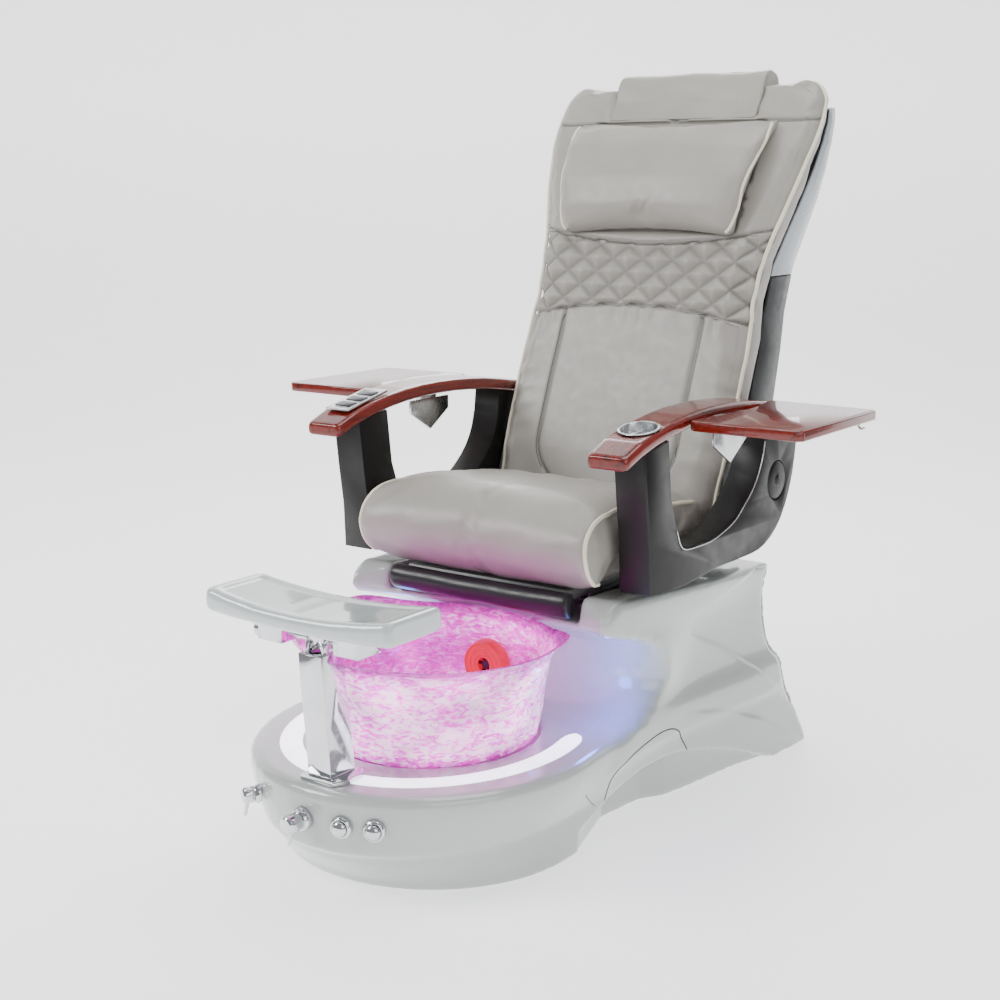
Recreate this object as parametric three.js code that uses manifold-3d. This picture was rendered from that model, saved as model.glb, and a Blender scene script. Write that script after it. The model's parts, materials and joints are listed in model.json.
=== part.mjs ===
// Pedicure spa chair: a moulded foot-bath base with a glass bowl, a powered seat on slide rails,
// a reclining massage back, lift-up arms with folding trays, and a tilting footrest.
// Millimetres, +Z up. The sitter faces -Y, the footrest is at -Y, and +X is the sitter's left hand.
// The origin is on the floor, under the middle cross member of the steel base frame.
import * as THREE from "three";
import { mergeVertices } from "three/addons/utils/BufferGeometryUtils.js";
import Module from "manifold-3d";

const wasm = await Module();
wasm.setup();

// ---------- driving dimensions ----------
const GAP = 0.4; // clearance between neighbouring pieces
const DECK_Z = 195; // top of the foot-bath deck
const SHELL_WALL = 6;
const DECK_WALL = 15;
const TUB_Y = -290; // centre of the foot bath and of the glass bowl's foot
const CHANNEL_HALF_WIDTH = 226; // open channel that the seat slides through
const CHANNEL_Z = 404;
const RAIL_X = 160;
const RAIL_Z = 410;
const FRAME_Z = 436;
const FRAME_TOP = 456;
const SEAT_HALF_WIDTH = 272;
const ARM_INNER_X = 296;
const ARM_OUTER_X = 362;
const CAP_INNER_X = 283;
const CAP_OUTER_X = 371;
const CAP_THICKNESS = 27;
const ARM_PIVOT = new THREE.Vector2(390, 607); // (Y, Z)
const RECLINE_PIVOT = new THREE.Vector2(352, 476);
const TRAY_TOP = 781;
const TRAY_THICKNESS = 19;
const TRAY_HINGE = new THREE.Vector2(382, 752); // (X, Z)
const RAIL_LEAN = Math.atan2(227, 580); // lean of the massage rails from the vertical
const CONTROL_Z = 138;
const FOOTREST_PIVOT = new THREE.Vector2(-604, 444);

// ---------- materials ----------
const paint = (color, roughness, metalness = 0) =>
  new THREE.MeshStandardMaterial({ color, roughness, metalness });
const gelcoat = paint(0xc2c8c4, 0.18);
const leather = paint(0xb0ada5, 0.55);
const vinyl = paint(0x3a4044, 0.45);
const blackPlastic = paint(0x2a2826, 0.55);
const wood = paint(0x7a2c22, 0.15);
const chrome = paint(0xd8dadc, 0.08, 1);
const steel = paint(0x8b8f93, 0.4, 1);
const silver = paint(0xbdc4c9, 0.3, 0.6);
const glass = new THREE.MeshStandardMaterial({
  color: 0xff7fd0,
  roughness: 0.1,
  transparent: true,
  opacity: 0.5,
});
const diffuser = paint(0xf4f6ff, 0.4);
const rubber = paint(0x202224, 0.8);
const darkPlastic = paint(0x35383c, 0.5);

const chair = new THREE.Group();

function add(name, geometry, material, parent = chair) {
  const mesh = new THREE.Mesh(geometry, material);
  mesh.name = name;
  parent.add(mesh);
  return mesh;
}

// ---------- solids ----------
function toSolid(geometry) {
  const bare = geometry.clone();
  bare.deleteAttribute("normal");
  bare.deleteAttribute("uv");
  const merged = mergeVertices(bare, 1e-4);
  return new wasm.Manifold(
    new wasm.Mesh({
      numProp: 3,
      vertProperties: Float32Array.from(merged.attributes.position.array),
      triVerts: Uint32Array.from(merged.index.array),
    })
  );
}

function toGeometry(solid) {
  const mesh = solid.getMesh();
  const geometry = new THREE.BufferGeometry();
  geometry.setAttribute("position", new THREE.BufferAttribute(Float32Array.from(mesh.vertProperties), 3));
  geometry.setIndex(new THREE.BufferAttribute(Uint32Array.from(mesh.triVerts), 1));
  return geometry;
}

function join(first, ...rest) {
  let solid = toSolid(first);
  for (const piece of rest) solid = solid.add(toSolid(piece));
  return toGeometry(solid);
}

function cut(first, ...tools) {
  let solid = toSolid(first);
  for (const tool of tools) solid = solid.subtract(toSolid(tool));
  return toGeometry(solid);
}

function common(first, second) {
  return toGeometry(toSolid(first).intersect(toSolid(second)));
}

function mirrorX(geometry) {
  const copy = geometry.index ? geometry.clone() : mergeVertices(geometry.clone());
  copy.scale(-1, 1, 1);
  const index = copy.index.array;
  for (let i = 0; i < index.length; i += 3) {
    [index[i], index[i + 1]] = [index[i + 1], index[i]];
  }
  return copy;
}

function block(x0, x1, y0, y1, z0, z1) {
  const geometry = new THREE.BoxGeometry(x1 - x0, y1 - y0, z1 - z0);
  return geometry.translate((x0 + x1) / 2, (y0 + y1) / 2, (z0 + z1) / 2);
}

// Turns a closed skin the right way out, whichever way its profile was drawn.
function facingOut(geometry) {
  const [place, index] = [geometry.attributes.position, geometry.index.array];
  const corner = (at) => new THREE.Vector3().fromBufferAttribute(place, index[at]);
  let volume = 0;
  for (let i = 0; i < index.length; i += 3) volume += corner(i).dot(corner(i + 1).cross(corner(i + 2)));
  if (volume > 0) return geometry;
  for (let i = 0; i < index.length; i += 3) [index[i], index[i + 1]] = [index[i + 1], index[i]];
  return geometry;
}

// A profile of [radius, height] points turned about Y, the height running along +Y.
function turned(profile, sides) {
  return facingOut(new THREE.LatheGeometry(profile.map(([r, y]) => new THREE.Vector2(r, y)), sides));
}

// A round bar from one point to another.
function bar(from, to, radius, sides = 16, endRadius = radius) {
  const start = new THREE.Vector3(...from);
  const end = new THREE.Vector3(...to);
  const along = end.clone().sub(start);
  const geometry = new THREE.CylinderGeometry(endRadius, radius, along.length(), sides);
  const up = new THREE.Vector3(0, 1, 0);
  const turn = new THREE.Quaternion().setFromUnitVectors(up, along.clone().normalize());
  geometry.applyQuaternion(turn);
  const middle = start.add(end).multiplyScalar(0.5);
  return geometry.translate(middle.x, middle.y, middle.z);
}

function shapeOf(points) {
  return new THREE.Shape(points.map(([a, b]) => new THREE.Vector2(a, b)));
}

// A smooth line through a few points, as a list of points.
function through(points, divisions) {
  const curve = new THREE.SplineCurve(points.map(([a, b]) => new THREE.Vector2(a, b)));
  return curve.getPoints(divisions).map((point) => [point.x, point.y]);
}

// An outline in (Y, Z) extruded along X.
function prismX(outline, x0, x1) {
  const geometry = new THREE.ExtrudeGeometry(shapeOf(outline), { depth: x1 - x0, bevelEnabled: false });
  const basis = new THREE.Matrix4().makeBasis(
    new THREE.Vector3(0, 1, 0),
    new THREE.Vector3(0, 0, 1),
    new THREE.Vector3(1, 0, 0)
  );
  return geometry.applyMatrix4(basis).translate(x0, 0, 0);
}

// An outline in (X, Y) extruded along Z.
function prismZ(outline, z0, z1) {
  const geometry = new THREE.ExtrudeGeometry(shapeOf(outline), { depth: z1 - z0, bevelEnabled: false });
  return geometry.translate(0, 0, z0);
}

function ellipse(halfX, halfY, centreY, sides = 48) {
  const points = [];
  for (let i = 0; i < sides; i++) {
    const angle = (2 * Math.PI * i) / sides;
    points.push([halfX * Math.cos(angle), centreY + halfY * Math.sin(angle)]);
  }
  return points;
}

// A tube or solid bar swept along a smooth route.
function sweep(route, radius, steps, sides = 10) {
  const path = new THREE.CatmullRomCurve3(route.map((point) => new THREE.Vector3(...point)));
  const section = new THREE.Shape();
  section.absarc(0, 0, radius, 0, 2 * Math.PI);
  return new THREE.ExtrudeGeometry(section, {
    steps,
    curveSegments: sides / 2,
    bevelEnabled: false,
    extrudePath: path,
  });
}

// A closed skin through rings of points, all with the same count; the end rings are filled.
function loft(rings, capAxes = ["x", "y"]) {
  const count = rings[0].length;
  const positions = rings.flat().flatMap((point) => [point.x, point.y, point.z]);
  const faces = [];
  for (let i = 0; i + 1 < rings.length; i++) {
    for (let j = 0; j < count; j++) {
      const a = i * count + j;
      const b = i * count + ((j + 1) % count);
      faces.push([a, b, b + count], [a, b + count, a + count]);
    }
  }
  for (const [ring, offset, flip] of [
    [rings[0], 0, true],
    [rings.at(-1), (rings.length - 1) * count, false],
  ]) {
    const flat = ring.map((point) => new THREE.Vector2(point[capAxes[0]], point[capAxes[1]]));
    for (const [a, b, c] of THREE.ShapeUtils.triangulateShape(flat, [])) {
      faces.push((flip ? [a, c, b] : [a, b, c]).map((corner) => corner + offset));
    }
  }
  const geometry = new THREE.BufferGeometry();
  geometry.setAttribute("position", new THREE.Float32BufferAttribute(positions, 3));
  geometry.setIndex(faces.flat());
  return facingOut(geometry);
}

// A smooth value read from a short table of [position, value] rows.
function readTable(rows, position) {
  const curve = rows.map(([at]) => at);
  const last = rows.length - 1;
  if (position <= curve[0]) return rows[0][1];
  if (position >= curve[last]) return rows[last][1];
  const i = curve.findIndex((at) => at > position) - 1;
  const t = (position - curve[i]) / (curve[i + 1] - curve[i]);
  const before = rows[Math.max(i - 1, 0)][1];
  const after = rows[Math.min(i + 2, last)][1];
  const [p, q] = [rows[i][1], rows[i + 1][1]];
  return 0.5 * (2 * p + (q - before) * t + (2 * before - 5 * p + 4 * q - after) * t * t
    + (3 * p - before - 3 * q + after) * t * t * t);
}

// A rounded rectangle as a ring of points in two axes.
function roundedRing(halfA, halfB, radius, perCorner = 3) {
  const points = [];
  const corners = [[1, 1], [-1, 1], [-1, -1], [1, -1]];
  corners.forEach(([signA, signB], quarter) => {
    for (let i = 0; i <= perCorner; i++) {
      const angle = (Math.PI / 2) * (quarter + i / perCorner);
      points.push([
        signA * (halfA - radius) + radius * Math.cos(angle),
        signB * (halfB - radius) + radius * Math.sin(angle),
      ]);
    }
  });
  return points;
}

// ---------- moulded base ----------
// Each level of the foot-bath tub: height, half width and front reach of the oval, the centre
// of the oval, then half widths of the body at the waist, side and rear wing, and the rear Y.
const TUB_LEVELS = [
  { z: 0, width: 290, reach: 283, waist: 290, side: 322, wing: 372, rear: 588 },
  { z: 78, width: 286, reach: 345, waist: 294, side: 320, wing: 360, rear: 556 },
  { z: 88, width: 292, reach: 358, waist: 298, side: 320, wing: 358, rear: 550 },
  { z: 140, width: 318, reach: 362, waist: 308, side: 316, wing: 350, rear: 522 },
  { z: 178, width: 330, reach: 364, waist: 312, side: 314, wing: 344, rear: 500 },
  { z: 190, width: 326, reach: 359, waist: 308, side: 311, wing: 342, rear: 494 },
  { z: DECK_Z, width: 312, reach: 345, waist: 296, side: 300, wing: 334, rear: 488 },
];

// Each level of the raised rear body: the Y of its front face at the middle, at the bowl's
// shoulder and at the horn, then the half widths at the horn, side and wing, and the rear Y.
const REAR_LEVELS = [
  { z: 182, mid: -70, shoulder: -70, horn: -150, tip: 306, side: 314, wing: 344, rear: 498 },
  { z: 215, mid: -60, shoulder: -52, horn: -60, tip: 312, side: 310, wing: 338, rear: 480 },
  { z: 260, mid: -58, shoulder: -42, horn: 8, tip: 316, side: 306, wing: 333, rear: 458 },
  { z: 310, mid: -58, shoulder: -44, horn: 0, tip: 322, side: 308, wing: 332, rear: 444 },
  { z: 355, mid: -60, shoulder: -58, horn: -52, tip: 322, side: 316, wing: 335, rear: 436 },
  { z: 392, mid: -120, shoulder: -132, horn: -172, tip: 310, side: 330, wing: 342, rear: 430 },
  { z: 428, mid: -128, shoulder: -130, horn: -184, tip: 308, side: 338, wing: 350, rear: 432 },
  { z: 446, mid: -128, shoulder: -128, horn: -180, tip: 306, side: 338, wing: 352, rear: 436 },
  { z: 453, mid: -120, shoulder: -120, horn: -170, tip: 299, side: 330, wing: 346, rear: 430 },
];
const RIM_DROP = 0.053; // fall of the body's top edge towards the rear
const HORN_FALL = 10; // how much steeper that edge falls towards the horns in front

function closeHalf(half, z, drop) {
  const fall = (y) => drop * (Math.max(0, y + 170) + HORN_FALL * Math.max(0, -132 - y));
  const right = half.map(([x, y]) => new THREE.Vector3(x, y, z - fall(y)));
  const left = right.slice(1, -1).reverse().map((point) => new THREE.Vector3(-point.x, point.y, point.z));
  return [...right, ...left];
}

function tubRing(level, inset, lift = 0) {
  const [width, reach] = [level.width - inset, level.reach - inset];
  const rear = level.rear - inset;
  const half = [];
  const arcSteps = 7;
  for (let i = 0; i < arcSteps; i++) {
    const angle = ((Math.PI / 2) * i) / arcSteps;
    half.push([width * Math.sin(angle), TUB_Y - reach * Math.cos(angle)]);
  }
  const side = [
    [width, TUB_Y],
    [level.waist - inset, -70],
    [level.side - inset, 150],
    [(level.side + level.wing) / 2 - inset + 4, 330],
    [level.wing - inset, rear - 30],
  ];
  half.push(...through(side, 7), [level.wing - inset - 14, rear - 4]);
  half.push([(level.wing - inset) / 2, rear], [0, rear]);
  return closeHalf(half, level.z + lift, 0);
}

function rearRing(level, inset, lift = 0) {
  const rear = level.rear - inset;
  const front = [
    [0, level.mid + inset],
    [150, level.shoulder + inset],
    [262, (level.shoulder + level.horn) / 2 + inset],
    [level.tip - inset - 16, level.horn + inset + 4],
    [level.tip - inset, level.horn + inset + 26],
  ];
  const side = [
    [level.tip - inset, level.horn + inset + 26],
    [level.side - inset, 150],
    [(level.side + level.wing) / 2 - inset, 330],
    [level.wing - inset, rear - 24],
  ];
  const half = [...through(front, 6), ...through(side, 5).slice(1)];
  half.push([level.wing - inset - 12, rear - 4], [(level.wing - inset) / 2, rear], [0, rear]);
  const slope = RIM_DROP * THREE.MathUtils.smoothstep(level.z, 330, 440);
  return closeHalf(half, level.z + lift, slope);
}

const ARCH_CURVE = [[-190, 50], [-60, 92], [60, 100], [160, 84], [280, 50], [412, 0]];

function archTool(grow) {
  const curve = through(ARCH_CURVE, 14).map(([y, z]) => [y + grow * Math.sign(y - 60), z + grow]);
  const outline = [[-238 - grow, -10], ...curve, [420 + grow, -10]];
  const outside = [
    [500, -300],
    [288 - grow, -240 - grow],
    [240 - grow, -80],
    [252 - grow, 40],
    [282 - grow, 90],
    [318 - grow, 320],
    [350 - grow, 440 + grow],
    [500, 460],
  ];
  return common(prismX(outline, 200, 480), prismZ(outside, -12, 140));
}

const PANEL_OUTLINE = [
  [-150, 60],
  [-150, 120],
  [-110, 150],
  [-20, 166],
  [40, 164],
  [78, 146],
  [104, 116],
  [118, 60],
];

function panelPrism(grow) {
  const outline = PANEL_OUTLINE.map(([y, z]) => [y + grow * Math.sign(y + 20), z + (z > 60 ? grow : 0)]);
  return prismX(outline, 200, 400);
}

function controlSpot(x) {
  const [halfX, halfY] = [317, 361];
  const y = TUB_Y - halfY * Math.sqrt(1 - (x / halfX) ** 2);
  const angle = Math.atan2(x / halfX ** 2, -(y - TUB_Y) / halfY ** 2);
  return { x, y, angle };
}
const VALVE_LEFT = controlSpot(-144);
const VALVE_MID = controlSpot(-6);
const CAP_NEAR = controlSpot(72);
const CAP_FAR = controlSpot(126);

function wallHole(spot, radius) {
  const out = [Math.sin(spot.angle), -Math.cos(spot.angle)];
  const at = (d) => [spot.x + out[0] * d, spot.y + out[1] * d, CONTROL_Z];
  return bar(at(-40), at(30), radius, 16);
}

function ledOutline(grow) {
  const points = [];
  const start = THREE.MathUtils.degToRad(-204) - grow / 200;
  const end = THREE.MathUtils.degToRad(24) + grow / 200;
  const steps = 22;
  const edge = (halfX, halfY, i) => {
    const angle = start + ((end - start) * i) / steps;
    return [halfX * Math.cos(angle), -284 + halfY * Math.sin(angle)];
  };
  for (let i = 0; i <= steps; i++) points.push(edge(275 + grow, 317 + grow, i));
  for (let i = steps; i >= 0; i--) points.push(edge(234 - grow, 274 - grow, i));
  return points;
}

const RECESS = prismZ(ellipse(193, 206, TUB_Y), DECK_Z - 9.4, DECK_Z + 40);
const DRAIN_HOLE_R = 25;

const outer = join(
  loft(TUB_LEVELS.map((level) => tubRing(level, 0))),
  loft(REAR_LEVELS.map((level) => rearRing(level, 0)))
);
const tubCavity = common(
  loft(TUB_LEVELS.map((level, i) => tubRing(level, SHELL_WALL, i === 0 ? -8 : 0))),
  block(-500, 500, -700, 700, -20, DECK_Z - DECK_WALL)
);
// The rear cavity starts inside the tub's and stays below the body's top edge.
const cavityLift = (i) => {
  if (i < 2) return -DECK_WALL - 14;
  return i > 4 ? -SHELL_WALL - 2 : 0;
};
const rearCavity = loft(REAR_LEVELS.map((level, i) => rearRing(level, SHELL_WALL, cavityLift(i))));
const rightArch = archTool(0);
const innerArch = archTool(SHELL_WALL);
const cavity = cut(join(tubCavity, rearCavity), innerArch, mirrorX(innerArch));
const channel = block(-CHANNEL_HALF_WIDTH, CHANNEL_HALF_WIDTH, -260, 520, CHANNEL_Z, 520);
const towerOpening = block(-200, 200, -40, 372, 380, 420);
const jetHole = bar([0, -110, 280], [0, -20, 280], 38, 24);
const shellBlank = cut(
  outer,
  rightArch,
  mirrorX(rightArch),
  cavity,
  channel,
  towerOpening,
  jetHole,
  RECESS,
  prismZ(ledOutline(GAP), DECK_Z - 4.4, DECK_Z + 30),
  bar([0, TUB_Y, 150], [0, TUB_Y, 220], DRAIN_HOLE_R, 24)
);
const rightPanel = common(shellBlank, panelPrism(0));
const serviceHatch = block(-150, 150, 380, 600, 120, 340);
const baseShell = cut(
  shellBlank,
  panelPrism(0.8),
  mirrorX(panelPrism(0.8)),
  block(-150.8, 150.8, 380, 600, 119.2, 340.8),
  wallHole(VALVE_LEFT, 10),
  wallHole(VALVE_MID, 10),
  wallHole(CAP_NEAR, 10),
  wallHole(CAP_FAR, 10)
);
add("base_shell", baseShell, gelcoat);
add("side_panel_right", rightPanel, gelcoat);
add("side_panel_left", mirrorX(rightPanel), gelcoat);
const inletHole = bar([90, 440, 170], [90, 560, 170], 22, 16);
add("rear_hatch", cut(common(shellBlank, serviceHatch), inletHole), gelcoat);

// ---------- steel base frame and seat tower ----------
const FRAME_BAR = 30;
const frameBars = [-1, 1].map((side) =>
  block(side * 170 - FRAME_BAR / 2, side * 170 + FRAME_BAR / 2, -420, 400, 0, FRAME_BAR)
);
const crossBars = [-420, -FRAME_BAR / 2, 370].map((y) => block(-170, 170, y, y + FRAME_BAR, 0, FRAME_BAR));
const legs = [];
for (const x of [-RAIL_X, RAIL_X]) {
  for (const y of [0, 340]) legs.push(block(x - 12, x + 12, y - 12, y + 12, 10, RAIL_Z - 24));
  legs.push(block(x - 12, x + 12, -26, 366, RAIL_Z - 24, RAIL_Z + 1));
}
const ties = [-12, 328].map((y) => block(-RAIL_X, RAIL_X, y, y + 24, RAIL_Z - 24, RAIL_Z - 2));
const slideRails = [-RAIL_X, RAIL_X].map((x) =>
  cut(
    block(x - 14, x + 14, -26, 366, RAIL_Z, RAIL_Z + 20),
    block(x - 9, x + 9, -40, 380, RAIL_Z + 5, RAIL_Z + 30)
  )
);
add("base_frame", join(...frameBars, ...crossBars, ...legs, ...ties, ...slideRails), steel);

// ---------- glass bowl, light and water ----------
const BOWL_LEVELS = [
  { z: DECK_Z - 9, width: 178, reach: 191, centre: TUB_Y, ear: 0 },
  { z: DECK_Z - 2, width: 189, reach: 202, centre: -291, ear: 0 },
  { z: 240, width: 203, reach: 211, centre: -298, ear: 0 },
  { z: 300, width: 216, reach: 218, centre: -308, ear: 2 },
  { z: 350, width: 226, reach: 222, centre: -316, ear: 8 },
  { z: 376, width: 240, reach: 226, centre: -322, ear: 20 },
  { z: 386, width: 254, reach: 229, centre: -325, ear: 26 },
];
const EAR_ANGLE = THREE.MathUtils.degToRad(26);

function bowlRing(level, inset, lift = 0) {
  const ring = [];
  const steps = 40;
  for (let i = 0; i < steps; i++) {
    const angle = (2 * Math.PI * i) / steps;
    const towards = Math.min(
      Math.abs(angle - EAR_ANGLE),
      Math.abs(angle - Math.PI + EAR_ANGLE),
      Math.abs(angle - 2 * Math.PI - EAR_ANGLE)
    );
    const bump = level.ear * Math.exp(-((towards / 0.3) ** 2));
    ring.push(
      new THREE.Vector3(
        (level.width + bump - inset) * Math.cos(angle),
        level.centre + (level.reach - inset + bump * 0.4) * Math.sin(angle),
        level.z + lift + bump * 0.5
      )
    );
  }
  return ring;
}
const GLASS = 7;
const bowlOutside = BOWL_LEVELS.map((level) => bowlRing(level, 0));
const bowlInside = BOWL_LEVELS.slice(1).map((level) => bowlRing(level, GLASS)).reverse();
const bowlFloor = bowlRing({ ...BOWL_LEVELS[0], ear: 0 }, 10, GLASS);
const bowl = loft([...bowlOutside, ...bowlInside, bowlFloor]);
add("glass_bowl", cut(bowl, bar([0, TUB_Y, 150], [0, TUB_Y, 220], 18, 24)), glass);
add("light_ring", prismZ(ledOutline(0), DECK_Z - 4, DECK_Z - 0.2), diffuser);

const drainProfile = [[0, 150], [16, 150], [16, 193.6], [30, 193.6], [26, 197], [10, 198.5], [0, 198.5]];
const drain = turned(drainProfile, 20);
drain.rotateX(Math.PI / 2).translate(0, TUB_Y, 0);
add("bowl_drain", drain, chrome);

const JET = new THREE.Vector3(0, -112, 280);
const jetProfile = [
  [0, 0], [48, 0], [50, -6], [46, -22], [40, -25],
  [14, -25], [14, -21], [36, -21], [40, -4], [0, -4],
];
const jetCup = turned(jetProfile, 24);
const jetCover = add("jet_cover", jetCup, paint(0xc02040, 0.2));
jetCover.position.copy(JET);
const blades = [];
for (let i = 0; i < 6; i++) {
  const blade = new THREE.BoxGeometry(22, 10, 3).translate(18, -12, 0);
  blades.push(blade.rotateY((i * Math.PI) / 3));
}
const hub = new THREE.CylinderGeometry(9, 9, 12, 16).translate(0, -12, 0);
const impeller = add("jet_impeller", join(hub, ...blades), darkPlastic);
impeller.position.copy(JET);
const motorCan = bar([0, -84, JET.z], [0, 40, JET.z], 36, 24);
const motorTail = bar([0, 30, JET.z], [0, 70, JET.z], 24, 20);
add("jet_motor", join(motorCan, motorTail), darkPlastic);

add("drain_pump", join(
  bar([90, 150, 62], [90, 260, 62], 38, 20),
  bar([90, 120, 62], [90, 151, 62], 46, 20),
  block(50, 130, 150, 250, 31, 50)
), darkPlastic);
const drainRoute = [
  [0, TUB_Y, 149], [0, TUB_Y, 90], [30, -240, 64], [80, -60, 62], [90, 60, 62], [90, 119, 62],
];
add("drain_pipe", sweep(drainRoute, 15, 18, 10), rubber);
add("control_box", block(-130, -10, 90, 250, 150, 230), darkPlastic);
const inletBarrel = bar([90, 452, 170], [90, 536, 170], 20, 20);
add("power_inlet", join(inletBarrel, block(62, 118, 440, 452, 142, 198)), blackPlastic);


// ---------- front controls: each one faces out of the tub wall, along its group's -Y ----------
function controlGroup(spot, stand) {
  const group = new THREE.Group();
  const out = [Math.sin(spot.angle), -Math.cos(spot.angle)];
  group.position.set(spot.x + out[0] * stand, spot.y + out[1] * stand, CONTROL_Z);
  group.rotation.z = spot.angle;
  chair.add(group);
  return group;
}

function alongMinusY(profile, sides) {
  return turned(profile.map(([r, out]) => [r, -out]), sides);
}

const CONTROL_STAND = 3;
const bezelProfile = (radius, depth) => [
  [0, -40],
  [8.5, -40],
  [8.5, 0],
  [radius, 0],
  [radius, depth * 0.5],
  [radius - 3, depth],
  [0, depth],
];

function valve(name, spot, radius, depth, handleRadius, handleDepth) {
  const group = controlGroup(spot, CONTROL_STAND);
  add(`${name}_body`, alongMinusY(bezelProfile(radius, depth), 20), chrome, group);
  const start = depth + GAP;
  const knob = alongMinusY(
    [[0, start], [handleRadius, start], [handleRadius, start + handleDepth - 4],
      [handleRadius - 4, start + handleDepth], [0, start + handleDepth]],
    20
  );
  const middle = start + handleDepth / 2;
  const lever = bar([0, -middle, -handleRadius + 4], [0, -middle - 6, -handleRadius - 22], 4, 12, 3);
  add(`${name}_handle`, join(knob, lever), chrome, group);
}
valve("temperature_valve", VALVE_LEFT, 17, 12, 15, 20);
valve("fill_valve", VALVE_MID, 21, 14, 16, 30);

const BUTTON_TRAVEL = 4;
function pushButton(name, spot) {
  const group = controlGroup(spot, CONTROL_STAND);
  const housing = [
    [0, -12], [9, -12], [9, 0], [20, 0], [20, 5], [17, 9], [14.2, 9], [14.2, 2], [0, 2],
  ];
  add(`${name}_bezel`, alongMinusY(housing, 20), chrome, group);
  const seat = 2 + BUTTON_TRAVEL + 0.6;
  const cap = [[0, seat], [13.6, seat], [13.6, 12], [10, 16], [5, 18], [0, 18.6]];
  add(`${name}_cap`, alongMinusY(cap, 20), chrome, group);
}
pushButton("jet_button", CAP_NEAR);
pushButton("drain_button", CAP_FAR);

// ---------- footrest ----------
const POST_HALF = 26;
const postFront = [[-616, DECK_Z + 9], [-622, 280], [-630, 360], [-634, 424]];
const postRear = [[-578, 424], [-572, 360], [-562, 280], [-552, DECK_Z + 9]];
const post = prismX([...postFront, ...postRear], -POST_HALF, POST_HALF);
const pocketFront = postFront.map(([y, z]) => [y + 5, z - (z > 400 ? 8 : 0)]);
const pocket = prismX([...pocketFront, [-540, 416], [-540, DECK_Z + 9]], -POST_HALF + 4, POST_HALF - 4);
const earOutline = [[-618, 420], [-618, 440], [-611, 452], [-597, 452], [-590, 440], [-590, 420]];
const ear = (x) => prismX(earOutline, x - 4, x + 4);
const pivotHole = bar([-40, ...FOOTREST_PIVOT], [40, ...FOOTREST_PIVOT], 5.4, 16);
const footPlate = prismZ(
  [[-34, -628], [40, -628], [52, -606], [52, -560], [40, -546], [-34, -546]],
  DECK_Z + GAP,
  DECK_Z + 9.5
);
add("footrest_post", cut(join(cut(post, pocket), ear(-20), ear(20), footPlate), pivotHole), chrome);

const bracketBar = bar([-120, ...FOOTREST_PIVOT], [112, ...FOOTREST_PIVOT], 5, 16);
const saddle = block(-15.6, 15.6, -616, -592, 436, 466);
const cradle = block(58, 112, -640, -560, 436, 466);
const leftCradle = block(-112, -58, -640, -560, 436, 466);
const topPlate = block(-120, 120, -645, -555, 462, 470);
add("footrest_bracket", join(bracketBar, saddle, cradle, leftCradle, topPlate), chrome);
const knobProfile = [[0, 0], [15, 0], [17, 5], [17, 20], [13, 25], [0, 26]];
const knob = turned(knobProfile, 18).rotateZ(Math.PI / 2).translate(-121, ...FOOTREST_PIVOT);
add("footrest_knob", knob, chrome);

// The pad: slices across the width, higher at both ends so that the top is a shallow saddle.
function padSlice(x, shrink = 1) {
  const t = x / 207;
  const front = -687 + 12 * t * t;
  const rear = -524 - 6 * t * t;
  const top = 505 + 17 * t * t;
  const bottom = 474 + 3 * t * t;
  const [midY, midZ] = [(front + rear) / 2, (top + bottom) / 2];
  const ring = roundedRing(((rear - front) / 2) * shrink, ((top - bottom) / 2) * shrink, 12 * shrink, 3);
  return ring.map(([a, b]) => new THREE.Vector3(x, midY + a, midZ + b));
}
const padXs = [-200, -160, -110, -55, 0, 55, 110, 160, 200];
const padSlices = [padSlice(-207, 0.9), ...padXs.map((x) => padSlice(x)), padSlice(207, 0.9)];
add("footrest_pad", loft(padSlices, ["y", "z"]), paint(0xb9c3c5, 0.2));

// ---------- seat ----------
const runners = [-RAIL_X, RAIL_X].map((x) => block(x - 8, x + 8, -10, 350, RAIL_Z + 6, FRAME_Z + 2));
const seatBars = [
  block(-190, -160, -120, 300, FRAME_Z, FRAME_TOP),
  block(160, 190, -120, 300, FRAME_Z, FRAME_TOP),
  block(-190, 190, -128, -104, FRAME_Z, FRAME_TOP),
  block(-190, 190, 90, 120, FRAME_Z, FRAME_TOP),
  block(-292, 292, 296, 330, FRAME_Z, FRAME_TOP),
];
const sidePlate = [
  [300, FRAME_Z],
  [372, FRAME_Z],
  [430, 540],
  [430, 640],
  [350, 640],
  [322, 560],
  [300, 480],
];
const platePivot = bar([-300, ...ARM_PIVOT], [300, ...ARM_PIVOT], 12.5, 20);
const reclineHole = bar([-300, ...RECLINE_PIVOT], [300, ...RECLINE_PIVOT], 8.4, 16);
const plates = [prismX(sidePlate, 284, 292), prismX(sidePlate, -292, -284)];
const SLIDE_Z = 421;
const slideRod = join(
  bar([0, 165, SLIDE_Z], [0, -110, SLIDE_Z], 7, 14),
  block(-10, 10, -126, -106, SLIDE_Z - 8, FRAME_Z + 2)
);
const ACTUATOR = { x: 95, z: 424, front: 112 };
const actuatorClamp = block(ACTUATOR.x - 9, ACTUATOR.x + 9, 92, ACTUATOR.front - GAP, 414, FRAME_Z + 2);
// Clearance for the back's lever where it swings forward through the rear bar.
const leverSlot = block(ACTUATOR.x - 7, ACTUATOR.x + 7, 315, 334, FRAME_Z - 2, FRAME_TOP + 2);
const seatFrame = cut(
  join(...runners, ...seatBars, ...plates, actuatorClamp, slideRod),
  platePivot,
  reclineHole,
  leverSlot
);
add("seat_frame", seatFrame, steel);

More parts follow.
